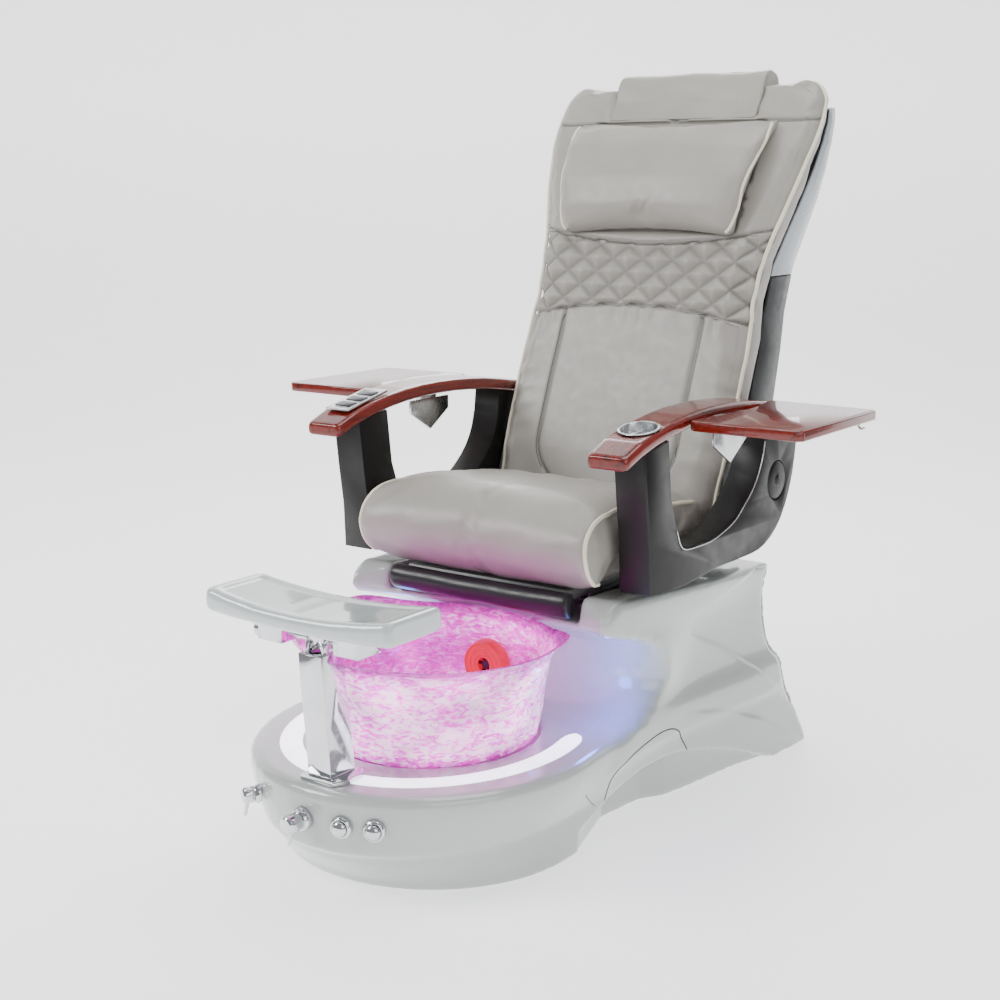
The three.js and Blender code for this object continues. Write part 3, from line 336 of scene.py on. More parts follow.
def finer(node, material, bevel=1.2, angle=30, segments=3, name=None, extra=(), smooth_angle=32):
    """A rigid CAD node with its edges rounded and its curved faces shaded smooth."""
    obj = node_copy(name or node + "_fine", node, *extra)
    if bevel:
        mod = obj.modifiers.new("bevel", "BEVEL")
        mod.width = bevel * MM
        mod.segments = segments
        mod.limit_method = "ANGLE"
        mod.angle_limit = math.radians(angle)
        mod.use_clamp_overlap = True
        mod.harden_normals = True
        apply_all(obj)
    obj.data.materials.clear()
    obj.data.materials.append(MATS[material])
    obj.data.shade_smooth()
    obj.data.set_sharp_from_angle(angle=math.radians(smooth_angle))
    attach(obj, NODE_BODY[node])
    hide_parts(node, *extra)
    return obj


def spline(points, count):
    """A centripetal-like Catmull-Rom curve through points, as count evenly stepped samples."""
    p = np.array(points, float)
    ends = np.vstack([2 * p[0] - p[1], p, 2 * p[-1] - p[-2]])
    fine = []
    for i in range(1, len(ends) - 2):
        a, b, c, d = ends[i - 1], ends[i], ends[i + 1], ends[i + 2]
        for t in np.linspace(0, 1, 24, endpoint=False):
            fine.append(0.5 * (2 * b + (c - a) * t + (2 * a - 5 * b + 4 * c - d) * t * t
                               + (3 * b - a - 3 * c + d) * t ** 3))
    fine = np.array([*fine, p[-1]])
    run = np.concatenate([[0], np.cumsum(np.linalg.norm(np.diff(fine, axis=0), axis=1))])
    at = np.linspace(0, run[-1], count)
    return np.array([np.interp(at, run, fine[:, k]) for k in range(fine.shape[1])]).T


def tube(name, path, radius, material, body, closed=False, sides=10, flat=1.0):
    """A round cord swept along a path of points, given in metres."""
    path = np.array(path, float)
    count = len(path)
    nxt = np.roll(path, -1, 0) if closed else np.vstack([path[1:], 2 * path[-1] - path[-2]])
    prv = np.roll(path, 1, 0) if closed else np.vstack([2 * path[0] - path[1], path[:-1]])
    tangent = nxt - prv
    tangent /= np.linalg.norm(tangent, axis=1)[:, None]
    side = np.cross(tangent[0], [0.13, 0.21, 0.97])
    points = []
    for i in range(count):
        side = side - tangent[i] * (side @ tangent[i])
        side /= np.linalg.norm(side)
        other = np.cross(tangent[i], side)
        taper = 1.0
        for k in range(sides):
            a = 2 * math.pi * k / sides
            points.append(path[i] + radius * taper * (math.cos(a) * side + flat * math.sin(a) * other))
    faces = []
    rows = count if closed else count - 1
    for i in range(rows):
        j = (i + 1) % count
        for k in range(sides):
            m = (k + 1) % sides
            faces.append((i * sides + k, i * sides + m, j * sides + m, j * sides + k))
    if not closed:
        ends = ((0, path[0] - tangent[0] * radius * 0.5, True),
                (count - 1, path[-1] + tangent[-1] * radius * 0.5, False))
        for row, centre, flip in ends:
            points.append(centre)
            tip = len(points) - 1
            for k in range(sides):
                m = (k + 1) % sides
                rim = (row * sides + m, row * sides + k) if flip else (row * sides + k, row * sides + m)
                faces.append((*rim, tip))
    return make(name, points, faces, material, body)


# ---------- volumes ----------
VOX = 0.0055


class Volume:
    """A signed distance on a regular grid, for smooth unions and cuts of moulded shapes."""

    def __init__(self, low, high, voxel=VOX):
        self.voxel = voxel
        self.low = np.array(low, float)
        self.axes = [np.arange(l, h + voxel, voxel) for l, h in zip(low, high)]
        self.x, self.y, self.z = np.meshgrid(*self.axes, indexing="ij", sparse=True)

    def mesh(self, field):
        grid = openvdb.FloatGrid(0.05)
        grid.copyFromArray(np.ascontiguousarray(np.clip(field, -0.05, 0.05), dtype=np.float32))
        points, quads = grid.convertToQuads(isovalue=0.0)
        return points * self.voxel + self.low, quads


def smooth_min(a, b, k):
    h = np.clip(0.5 + 0.5 * (b - a) / k, 0, 1)
    return b + (a - b) * h - k * h * (1 - h)


def smooth_max(a, b, k):
    return -smooth_min(-a, -b, k)


def box_distance(v, low, high, r=0.0):
    """Distance to a box, its edges rounded by r."""
    c = [(l + h) / 2 for l, h in zip(low, high)]
    half = [(h - l) / 2 - r for l, h in zip(low, high)]
    q = [np.abs(a - m) - s for a, m, s in zip((v.x, v.y, v.z), c, half)]
    outside = np.sqrt(sum(np.maximum(t, 0) ** 2 for t in q))
    return outside + np.minimum(np.maximum(np.maximum(q[0], q[1]), q[2]), 0) - r


def outline_distance(polygon, a, b):
    """Signed distance in a plane from points (a, b) to a closed polygon, negative inside."""
    p = np.array(polygon, float)
    q = np.roll(p, -1, 0)
    best = np.full(np.broadcast(a, b).shape, 1e9)
    inside = np.zeros(best.shape, bool)
    for (x0, y0), (x1, y1) in zip(p, q):
        dx, dy = x1 - x0, y1 - y0
        size = dx * dx + dy * dy
        if size < 1e-14:
            continue
        t = np.clip(((a - x0) * dx + (b - y0) * dy) / size, 0, 1)
        best = np.minimum(best, (a - x0 - t * dx) ** 2 + (b - y0 - t * dy) ** 2)
        if y0 != y1:
            inside ^= ((y0 > b) != (y1 > b)) & (a < x0 + (b - y0) * dx / dy)
    return np.where(inside, -1, 1) * np.sqrt(best)


def table_at(rows, at):
    """A smooth reading of a table of (position, values)."""
    rows = np.array(rows, float)
    i = int(np.clip(np.searchsorted(rows[:, 0], at) - 1, 0, len(rows) - 2))
    t = float(np.clip((at - rows[i, 0]) / (rows[i + 1, 0] - rows[i, 0]), 0, 1))
    p, q = rows[i, 1:], rows[i + 1, 1:]
    before, after = rows[max(i - 1, 0), 1:], rows[min(i + 2, len(rows) - 1), 1:]
    return 0.5 * (2 * p + (q - before) * t + (2 * before - 5 * p + 4 * q - after) * t * t
                  + (3 * p - before - 3 * q + after) * t ** 3)


# ---------- moulded base ----------
TUB_Y = -290
# z, half width, front reach, waist, side, wing, rear (mm)
TUB_LEVELS = [
    (0, 290, 283, 290, 322, 372, 588),
    (78, 286, 345, 294, 320, 360, 556),
    (88, 292, 358, 298, 320, 358, 550),
    (140, 318, 362, 308, 316, 350, 522),
    (178, 330, 364, 312, 314, 344, 500),
    (196, 330, 363, 312, 314, 344, 494),
]
# z, mid, shoulder, horn, tip, side, wing, rear (mm)
REAR_LEVELS = [
    (182, -70, -70, -150, 306, 314, 344, 498),
    (215, -60, -52, -60, 312, 310, 338, 480),
    (260, -58, -42, 8, 316, 306, 333, 458),
    (310, -58, -44, 0, 322, 308, 332, 444),
    (355, -60, -58, -52, 322, 316, 335, 436),
    (392, -120, -132, -172, 310, 330, 342, 430),
    (428, -128, -130, -184, 308, 338, 350, 432),
    (456, -128, -128, -180, 306, 338, 352, 436),
]


def tub_outline(z):
    width, reach, waist, side, wing, rear = table_at(TUB_LEVELS, z)
    angles = np.linspace(0, math.pi / 2, 12, endpoint=False)
    half = [(width * math.sin(a), TUB_Y - reach * math.cos(a)) for a in angles]
    edge = [(width, TUB_Y), (waist, -70), (side, 150), ((side + wing) / 2 + 4, 330), (wing, rear - 30)]
    half += [tuple(p) for p in spline(edge, 22)] + [(wing - 14, rear - 4), (0, rear)]
    return np.array(half + [(-x, y) for x, y in half[::-1]]) * MM


def rear_outline(z):
    mid, shoulder, horn, tip, side, wing, rear = table_at(REAR_LEVELS, z)
    front = [(0, mid), (150, shoulder), (262, (shoulder + horn) / 2), (tip - 16, horn + 4), (tip, horn + 26)]
    edge = [(tip, horn + 26), (side, 150), ((side + wing) / 2, 330), (wing, rear - 24)]
    half = [tuple(p) for p in spline(front, 14)] + [tuple(p) for p in spline(edge, 16)][1:]
    half += [(wing - 12, rear - 4), (0, rear)]
    return np.array(half + [(-x, y) for x, y in half[::-1]]) * MM


ARCH_CURVE = [(-190, 50), (-60, 92), (60, 100), (160, 84), (280, 50), (412, 0)]
SKIRT_PLAN = [(288, -240), (240, -80), (252, 40), (282, 90), (318, 320), (350, 440)]


def stacked(v, outline_of, heights):
    """Plan distances at a few heights, read between them at every grid level."""
    x, y = v.x[:, :, 0], v.y[:, :, 0]
    planes = np.array([outline_distance(outline_of(h), x, y) for h in heights])
    zs = v.z[0, 0, :] / MM
    at = np.clip(np.interp(zs, heights, np.arange(len(heights))), 0, len(heights) - 1.0001)
    i = at.astype(int)
    t = at - i
    return np.moveaxis(planes[i] * (1 - t)[:, None, None] + planes[i + 1] * t[:, None, None], 0, 2)


def base_field(v):
    tub = stacked(v, tub_outline, [0, 20, 40, 60, 78, 84, 96, 112, 128, 144, 160, 178, 190, 197])
    tub = smooth_max(tub, v.z - 0.195, 0.022)
    rear = stacked(v, rear_outline, [182, 198, 215, 232, 250, 270, 290, 310, 325, 340, 355, 368, 380, 392,
                                     404, 416, 428, 445])
    lip = 0.4545 - 0.053 * np.maximum(0, v.y + 0.17) - 0.53 * np.maximum(0, -0.132 - v.y)
    rear = smooth_max(rear, v.z - lip, 0.016)
    rear = np.maximum(rear, 0.16 - v.z)
    body = smooth_min(tub, rear, 0.045)
    body = np.maximum(body, -v.z)
    arch_line = spline([(-250, 36)] + ARCH_CURVE + [(470, -22)], 60) * MM
    arch = v.z - np.interp(v.y, arch_line[:, 0], arch_line[:, 1])
    arch = arch * 0.92
    front_end = (-0.238 - v.y)
    arch = np.maximum(arch, front_end)
    skirt_line = np.array(SKIRT_PLAN) * MM
    skirt = np.interp(v.y, skirt_line[:, 1], skirt_line[:, 0]) - np.abs(v.x)
    cut = smooth_max(arch, skirt, 0.008)
    body = smooth_max(body, -cut, 0.006)
    recess = np.sqrt((v.x / 0.193) ** 2 + ((v.y + 0.290) / 0.206) ** 2) - 1
    recess = np.maximum(recess * 0.193, 0.1856 - v.z)
    body = smooth_max(body, -recess, 0.006)
    channel = np.maximum(np.abs(v.x) - 0.226, 0.404 - v.z)
    body = smooth_max(body, -channel, 0.008)
    tower = box_distance(v, (-0.19, 0.0, 0.30), (0.19, 0.372, 0.6), 0.01)
    return smooth_max(body, -tower, 0.006)


def soft_step(value, low, high):
    t = np.clip((value - low) / (high - low), 0, 1)
    return t * t * (3 - 2 * t)


# The scooped rear wing and the rocker band on each flank, as (Y, Z) lines in mm.
WING_CREASE = [(392, 440), (330, 420), (226, 394), (165, 376), (135, 354), (130, 338), (150, 320), (255, 273),
               (330, 230), (382, 194), (470, 124), (555, 50), (620, -20)]
WING_EDGE = [tuple(p) for p in spline(WING_CREASE, 60)] + [(720, -20), (720, 452), (392, 452)]
ROCKER_LINE = [(60, 190), (114, 184), (221, 158), (300, 132), (383, 100), (480, 48), (565, -10)]


def build_base():
    v = Volume((-0.40, -0.68, -0.02), (0.40, 0.62, 0.48))
    points, quads = v.mesh(base_field(v))
    obj = make("base_body", points, quads, "gelcoat", None)
    mod = obj.modifiers.new("even", "SMOOTH")
    mod.factor = 0.5
    mod.iterations = 4
    apply_all(obj)
    points, facing = coords(obj), normals(obj)
    flank = soft_step(np.abs(facing[:, 0]), 0.25, 0.65)
    y, z = points[:, 1] / MM, points[:, 2] / MM
    scoop = outline_distance(WING_EDGE, y, z)
    inward = 9.5 * soft_step(-scoop, 0, 9)
    band = np.interp(y, *np.array(ROCKER_LINE).T) - z
    outward = 4.0 * soft_step(band, 0, 12) * soft_step(y, 70, 170)
    points[:, 0] += np.sign(points[:, 0]) * flank * (outward - inward) * MM
    set_coords(obj, points)
    obj.data.shade_smooth()
    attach(obj, "base")
    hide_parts("base_shell", "side_panel_right", "side_panel_left", "rear_hatch")
    return obj


base_body = build_base()


def surface_hit(obj, origin, direction, reach=1.0):
    found, place, normal, _ = obj.ray_cast(Vector(origin), Vector(direction), distance=reach)
    return (np.array(place), np.array(normal)) if found else None


def seam_on_base(name, line, radius=0.0011, material="base_gap"):
    """A fine dark line on the base's right and left flanks, given as (Y, Z) in mm; it draws the panel joint, and
    painted shade along the front crease.
    """
    for label, sign in (("right", 1), ("left", -1)):
        path = []
        for y, z in line:
            hit = surface_hit(base_body, (sign * 0.6, y * MM, z * MM), (-sign, 0, 0))
            if hit:
                path.append(hit[0] + hit[1] * (radius * -0.35))
        if len(path) > 3:
            tube(f"{name}_{label}", path, radius, material, "base", sides=8)


PANEL_LINE = [(-150, 72), (-150, 120), (-110, 150), (-20, 166), (40, 164), (78, 146), (104, 116), (116, 98)]
seam_on_base("panel_seam", spline(PANEL_LINE, 60), 0.0016)
# A thin dark cord of painted shade along the crease at the front edge of the arch opening.
seam_on_base("front_crease", spline([(-243, 118), (-210, 92), (-182, 72)], 12), 0.0008)

# ---------- carried-over and refined rigid nodes ----------
FINE = {
    "base_frame": ("steel", 1.5), "bowl_drain": ("chrome", 0.8), "jet_motor": ("dark_plastic", 1.2),
    "drain_pump": ("dark_plastic", 1.2), "drain_pipe": ("rubber", 0), "control_box": ("dark_plastic", 1.5),
    "power_inlet": ("dark_plastic", 0.8), "temperature_valve_body": ("chrome", 0.8),
    "fill_valve_body": ("chrome", 0.8), "jet_button_bezel": ("chrome", 1.2), "drain_button_bezel": ("chrome", 1.2),
    "footrest_post": ("chrome", 2.0), "slide_actuator": ("dark_plastic", 1.2), "footrest_bracket": ("chrome", 1.5),
    "footrest_knob": ("chrome", 1.2), "seat_frame": ("plate", 1.2), "recline_actuator": ("dark_plastic", 1.5),
    "arm_support_right": ("black_plastic", 4.0), "arm_support_left": ("black_plastic", 4.0),
    "arm_pivot_right": ("black_plastic", 1.5), "arm_pivot_left": ("black_plastic", 1.5),
    "tray_bracket_right": ("brushed", 0.8), "tray_bracket_left": ("brushed", 0.8),
    "tray_hinge_right": ("chrome", 0.8), "tray_hinge_left": ("chrome", 0.8),
    "cup_holder": ("brushed", 0.8), "keypad_panel": ("brushed", 1.0),
    "keypad_key_1": ("keypad_face", 0.4), "keypad_key_2": ("keypad_face", 0.4), "keypad_key_3": ("keypad_face", 0.4),
    "back_frame": ("steel", 1.2), "massage_rails": ("steel", 1.0), "massage_carriage": ("dark_plastic", 1.2),
    "massage_roller_right": ("rubber", 2.0), "massage_roller_left": ("rubber", 2.0),
    "recline_rod": ("chrome", 0.5), "jet_cover": ("jet_red", 1.5), "jet_impeller": ("dark_plastic", 0.8),
    "temperature_handle": ("chrome", 1.0), "fill_handle": ("chrome", 1.0),
    "jet_button_cap": ("chrome", 1.2), "drain_button_cap": ("chrome", 1.2),
}
for node, (material, bevel) in FINE.items():
    if node in NODES:
        finer(node, material, bevel)

# ---------- lit parts of the foot bath ----------
def ring_strip(name, centre, outer, inner, angles, low, high, material, body, steps=120, edge=0.0012):
    """A flat band between two ellipses, its edges rounded, over a range of angles."""
    section = [(0.0, low), (0.0, high - edge), (0.03, high), (0.97, high), (1.0, high - edge), (1.0, low)]
    points, faces = [], []
    for i in range(steps + 1):
        a = math.radians(angles[0] + (angles[1] - angles[0]) * i / steps)
        end = min(i, steps - i)
        pinch = math.sqrt(max(0.0, 1 - (1 - end / 5) ** 2)) if end < 5 else 1.0
        for t, z in section:
            t = 0.5 + (t - 0.5) * max(pinch, 0.12)
            rx = inner[0] + (outer[0] - inner[0]) * t
            ry = inner[1] + (outer[1] - inner[1]) * t
            points.append((centre[0] + rx * math.cos(a), centre[1] + ry * math.sin(a), z))
    n = len(section)
    for i in range(steps):
        for k in range(n - 1):
            faces.append((i * n + k, (i + 1) * n + k, (i + 1) * n + k + 1, i * n + k + 1))
        faces.append((i * n + n - 1, (i + 1) * n + n - 1, (i + 1) * n, i * n))
    faces += [tuple(range(n)), tuple(range(steps * n + n - 1, steps * n - 1, -1))]
    obj = make(name, points, faces, material, body)
    obj.data.set_sharp_from_angle(angle=math.radians(50))
    return obj


ring = ring_strip("light_ring_lens", (0, -0.284), (0.275, 0.317), (0.234, 0.274), (-204, 24), 0.188, 0.1962,
                  "light_diffuser", "base")
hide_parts("light_ring")

# z, half width, reach, centre Y, ear height (mm)
BOWL_LEVELS = [
    (186, 178, 191, -290, 0), (193, 189, 202, -291, 0), (240, 203, 211, -298, 0), (300, 216, 218, -308, 2),
    (350, 226, 222, -316, 8), (376, 240, 226, -322, 20), (386, 254, 229, -325, 26),
]
BOWL_WALL = 7
EAR_ANGLE = 26


def hammered(a, z):
    """Dimples of hand-worked glass, as a height in mm."""
    p = Vector((math.cos(a) * 9.5, math.sin(a) * 9.5, z / 24))
    cell = noise.voronoi(p)[0]
    return 2.6 * (cell[0] - 0.45) + 1.2 * noise.noise(p * 1.7)


def bowl_point(z, a, inset, work):
    width, reach, centre, ear = table_at(BOWL_LEVELS, z)
    bump = 0.0
    for middle in (EAR_ANGLE, 180 - EAR_ANGLE):
        away = (a - math.radians(middle) + math.pi) % (2 * math.pi) - math.pi
        bump += math.exp(-((away / 0.3) ** 2))
    wave = 1.4 * math.sin(7 * a + 0.6) * max(0.0, (z - 330) / 56)
    grow = ear * bump + (hammered(a, z) if work else 0.0) - inset + wave
    lift = 0.5 * ear * bump
    return ((width + grow) * math.cos(a) * MM, (centre + (reach + grow) * math.sin(a)) * MM, (z + lift) * MM)


def build_bowl():
    around = 200
    outside = [186, 189, 194] + list(np.linspace(201, 380, 44)) + [384, 386]
    inside = [386, 383] + list(np.linspace(378, 204, 30)) + [197, 194]
    rows = [(z, 0 if z > 186 else 6, 190 < z < 383) for z in outside]
    rows += [(z, BOWL_WALL - (2 if z > 384 else 0), False) for z in inside]
    points, faces = [], []
    for z, inset, work in rows:
        for k in range(around):
            points.append(bowl_point(z, 2 * math.pi * k / around, inset, work))
    for drain in (60, 18):
        for k in range(around):
            a = 2 * math.pi * k / around
            points.append((drain * math.cos(a) * MM, (-290 + drain * math.sin(a)) * MM, 0.194))
    for k in range(around):
        a = 2 * math.pi * k / around
        points.append((18 * math.cos(a) * MM, (-290 + 18 * math.sin(a)) * MM, 0.1862))
    total = len(points) // around
    for i in range(total):
        j = (i + 1) % total
        for k in range(around):
            m = (k + 1) % around
            faces.append((i * around + k, i * around + m, j * around + m, j * around + k))
    obj = make("bowl_glass_hammered", points, faces, "bowl_glass", "base")
    # Painted glow: bright over the outer wall from just above the light ring to near the top, fading to nothing at
    # the rim; weaker on the inner wall.
    painted_glow = np.zeros(len(points), dtype=np.float32)
    for row, (z, _, _) in enumerate(rows):
        if row < len(outside):
            glow_level = float(np.interp(z, [190, 215, 350, 374, 380], [0.3, 1.0, 1.0, 0.55, 0.0]))
        else:
            glow_level = float(np.interp(z, [200, 300, 330, 362, 374], [0.35, 0.12, 0.55, 0.6, 0.0]))
        painted_glow[row * around:(row + 1) * around] = glow_level
    obj.data.attributes.new("painted_glow", "FLOAT", "POINT").data.foreach_set("value", painted_glow)
    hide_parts("glass_bowl")
    return obj


build_bowl()


def disc_rings(name, centre, radii, material, body, depth=0.0016):
    """Raised rings on a lens that faces -Y."""
    for i, radius in enumerate(radii):
        path = [(centre[0] + radius * math.cos(a), centre[1], centre[2] + radius * math.sin(a))
                for a in np.linspace(0, 2 * math.pi, 48, endpoint=False)]
        tube(f"{name}_{i + 1}", path, depth, material, body, closed=True, sides=8)


jet_low, jet_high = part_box("jet_cover")
jet_mid = (jet_low + jet_high) / 2
disc_rings("jet_lens_ring", (jet_mid.x, jet_low.y - 0.0002, jet_mid.z), (0.044, 0.033, 0.022), "jet_red", "base")


# ---------- rigid shapes with large soft edges ----------
def remeshed(obj, voxel, rounds, factor=0.5):
    mod = obj.modifiers.new("voxels", "REMESH")
    mod.mode = "VOXEL"
    mod.voxel_size = voxel
    mod.use_smooth_shade = True
    if rounds:
        even = obj.modifiers.new("even", "SMOOTH")
        even.factor = factor
        even.iterations = rounds
    return apply_all(obj)


def dressed(obj, material, body, *replaced):
    obj.data.materials.clear()
    obj.data.materials.append(MATS[material])
    obj.data.shade_smooth()
    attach(obj, body)
    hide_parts(*replaced)
    return obj


def soften(name, node, material, voxel, rounds):
    obj = remeshed(node_copy(name, node), voxel, rounds)
    return dressed(obj, material, NODE_BODY[node], node)


CAP_VOXEL = 0.0026
for side in ("right", "left"):
    soften(f"arm_cap_wood_{side}", f"arm_cap_{side}", "red_wood", CAP_VOXEL, 10)
    finer(f"tray_{side}", "red_wood", 3.5, 30, 4, name=f"tray_wood_{side}")
finer("temperature_valve_handle", "chrome", 0.8, name="temperature_lever")
finer("fill_valve_handle", "chrome", 0.8, name="fill_lever")

pad = remeshed(node_copy("footrest_pad_shell", "footrest_pad"), 0.0045, 8)
pad_low, pad_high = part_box("footrest_pad")
co, no = coords(pad), normals(pad)
t = co[:, 0] / 0.207
front_edge = co[:, 1] + 0.687 - 0.012 * t * t
rear_edge = -0.524 - 0.006 * t * t - co[:, 1]
edge = np.minimum(np.minimum(front_edge, rear_edge), 0.207 - np.abs(co[:, 0]))
sunk = np.clip((edge - 0.012) / 0.016, 0, 1)
sunk = sunk * sunk * (3 - 2 * sunk)
co[:, 2] -= 0.0042 * sunk * (no[:, 2] > 0.3)
set_coords(pad, co)
remeshed_pad = pad.modifiers.new("even", "SMOOTH")
remeshed_pad.iterations = 3
apply_all(pad)
dressed(pad, "pad_shell", "footrest", "footrest_pad")


# ---------- upholstery ----------
def cushion(name, node, material, body, shrink, voxel, cap, hold=None, pressure=4.0, detail=None,
            rounds=4, proud=(0.003, 0.003, 0.003)):
    """A padded piece: a slightly smaller copy of its CAD solid, swelled by a cloth simulation."""
    obj = node_copy(name, node)
    co = coords(obj)
    low, high = co.min(0), co.max(0)
    centre, half = (low + high) / 2, (high - low) / 2
    set_coords(obj, centre + (co - centre) * (1 - np.array(shrink) / half))
    remeshed(obj, voxel, rounds)
    rest = coords(obj)
    cloth = obj.modifiers.new("cloth", "CLOTH")
    cloth.settings.use_pressure = True
    cloth.settings.uniform_pressure_force = pressure
    cloth.settings.effector_weights.gravity = 0
    cloth.settings.quality = 4
    cloth.point_cache.frame_start = 1
    cloth.point_cache.frame_end = 20
    for step in range(1, 21):
        bpy.context.scene.frame_set(step)
    graph = bpy.context.evaluated_depsgraph_get()
    swelled = obj.evaluated_get(graph)
    moved = np.array([v.co for v in swelled.data.vertices], float)
    obj.modifiers.clear()
    bpy.context.scene.frame_set(1)
    shift = moved - rest
    size = np.linalg.norm(shift, axis=1)[:, None] + 1e-9
    co = rest + shift / size * (cap * np.tanh(size / cap))
    if hold:
        co = hold(refit(co, low, high, proud))
    set_coords(obj, co)
    sub = obj.modifiers.new("fine", "SUBSURF")
    sub.levels = sub.render_levels = 1
    apply_all(obj)
    if detail:
        co, dark = detail(coords(obj), normals(obj))
        set_coords(obj, co)
        # The detail's second result is painted shade for the sewn channels, stored as a mesh attribute that the
        # leather darkens by.
        painted_shade_layer = obj.data.attributes.new("painted_shade", "FLOAT", "POINT")
        painted_shade_layer.data.foreach_set("value", dark.astype(np.float32))
    dressed(obj, material, body, node)
    return obj


def refit(co, low, high, proud):
    """Brings a swelled shape back to its CAD box, a little proud on each side."""
    now_low, now_high = co.min(0), co.max(0)
    low, high = low - np.array(proud), high + np.array(proud)
    return low + (co - now_low) / (now_high - now_low) * (high - low)


def groove(distance, width, depth):
    """Depth of a sewn channel at some distance from its line."""
    return depth * np.exp(-((distance / width) ** 2))


def snapped(obj, path, offset=0.0, rounds=2):
    """A path laid on an object's surface, then evened out."""
    laid = []
    for p in path:
        found, place, normal, _ = obj.closest_point_on_mesh(Vector(p))
        laid.append(np.array(place) + np.array(normal) * offset)
    laid = np.array(laid)
    for _ in range(rounds):
        laid[1:-1] = 0.5 * laid[1:-1] + 0.25 * (laid[:-2] + laid[2:])
    return laid


def stitches(name, path, body, pitch=0.0065, length=0.0042, radius=0.0006, material="thread"):
    """A row of thread stitches along a path, as one mesh of small capsules."""
    path = np.array(path)
    run = np.concatenate([[0], np.cumsum(np.linalg.norm(np.diff(path, axis=0), axis=1))])
    points, faces = [], []
    for start in np.arange(pitch / 2, run[-1] - length, pitch):
        a, b = [np.array([np.interp(s, run, path[:, k]) for k in range(3)]) for s in (start, start + length)]
        along = (b - a) / (np.linalg.norm(b - a) + 1e-9)
        u = np.cross(along, [0.31, 0.2, 0.93])
        u /= np.linalg.norm(u)
        w = np.cross(along, u)
        base = len(points)
        for s, r in ((0, 0.5), (0.2, 1), (0.8, 1), (1, 0.5)):
            for k in range(5):
                q = 2 * math.pi * k / 5
                points.append(a + (b - a) * s + radius * r * (math.cos(q) * u + math.sin(q) * w))
        for row in range(3):
            for k in range(5):
                m = (k + 1) % 5
                i = base + row * 5
                faces.append((i + k, i + m, i + 5 + m, i + 5 + k))
        faces += [tuple(base + k for k in range(4, -1, -1)), tuple(base + 15 + k for k in range(5))]
    return make(name, points, faces, material, body)


# The front face of the back (Z, Y) and its half width (Z, X), in mm.
FRONT_LINE = [(470, 268), (560, 288), (640, 312), (720, 342), (800, 373), (880, 407), (960, 434), (1040, 460),
              (1120, 496), (1200, 533), (1280, 576), (1340, 614), (1400, 648)]
HALF_WIDTH = [(470, 262), (620, 272), (720, 276), (880, 275), (960, 268), (1040, 275), (1120, 294), (1200, 312),
              (1280, 324), (1330, 327), (1370, 322), (1400, 304)]


def front_of(z):
    return table_at(FRONT_LINE, z / MM)[0] * MM


def width_of(z):
    return table_at(HALF_WIDTH, z / MM)[0] * MM


def quilt_low(x):
    return 0.949 - 0.034 * (np.abs(x) / 0.27) ** 2.2


def quilt_high(x):
    return 1.076 + 0.029 * (np.abs(x) / 0.27) ** 1.8


def lumbar_x(z):
    return 0.170 - 0.045 * np.clip((0.66 - z) / 0.08, 0, 1) ** 2


DIAMOND_W, DIAMOND_H = 0.074, 0.058


def back_detail(co, no):
    x, z = co[:, 0], co[:, 2]
    front = no[:, 1] < -0.15
    low, high = quilt_low(x), quilt_high(x)
    inside = np.clip((z - low) / 0.008, 0, 1) * np.clip((high - z) / 0.008, 0, 1)
    u = x / DIAMOND_W + z / DIAMOND_H
    w = x / DIAMOND_W - z / DIAMOND_H
    unit = 1 / math.hypot(1 / DIAMOND_W, 1 / DIAMOND_H)
    d1 = np.abs(u - np.round(u)) * unit
    d2 = np.abs(w - np.round(w)) * unit
    near = np.minimum(d1, d2)
    push = np.zeros(len(x))
    puff = 0.0125 * (1 - np.exp(-((near / 0.010) ** 1.5)))
    push += inside * (puff - 0.0065)
    push -= groove(z - low, 0.0045, 0.0055) + groove(z - high, 0.0045, 0.0045)
    push -= groove(z - 1.334, 0.004, 0.0035)
    lumbar = (z < low) * (z > 0.575)
    push -= lumbar * groove(np.abs(x) - lumbar_x(z), 0.0045, 0.0055)
    below = np.clip((low - z) / 0.11, 0, 1)
    pucker = np.sin(x * 150 + 2.2 * np.sin(x * 31)) * np.exp(-((below - 0.12) / 0.22) ** 2) * (z < low)
    push += 0.0013 * pucker
    bolster = np.clip((np.abs(x) - 0.185) / 0.05, 0, 1) * (z < low)
    push += bolster * 0.0012 * np.sin(z * 120 + 3 * np.sin(z * 17) + 4 * np.abs(x) / 0.1)
    upper = (z > 1.334) * np.clip((z - 1.334) / 0.02, 0, 1)
    push += upper * 0.0010 * np.sin(x * 60 + z * 90)
    push = np.where(front, push, 0)
    # Painted shade: darkening along the diamond quilting grooves, the quilt and head seam lines and the lumbar
    # seams.
    dark = inside * np.exp(-((near / 0.0032) ** 2)) * 0.75
    for line in (z - low, z - high, z - 1.334):
        dark = np.maximum(dark, np.exp(-((line / 0.0030) ** 2)))
    dark = np.maximum(dark, lumbar * np.exp(-(((np.abs(x) - lumbar_x(z)) / 0.0032) ** 2)))
    return co + no * push[:, None], np.where(front, dark, 0)


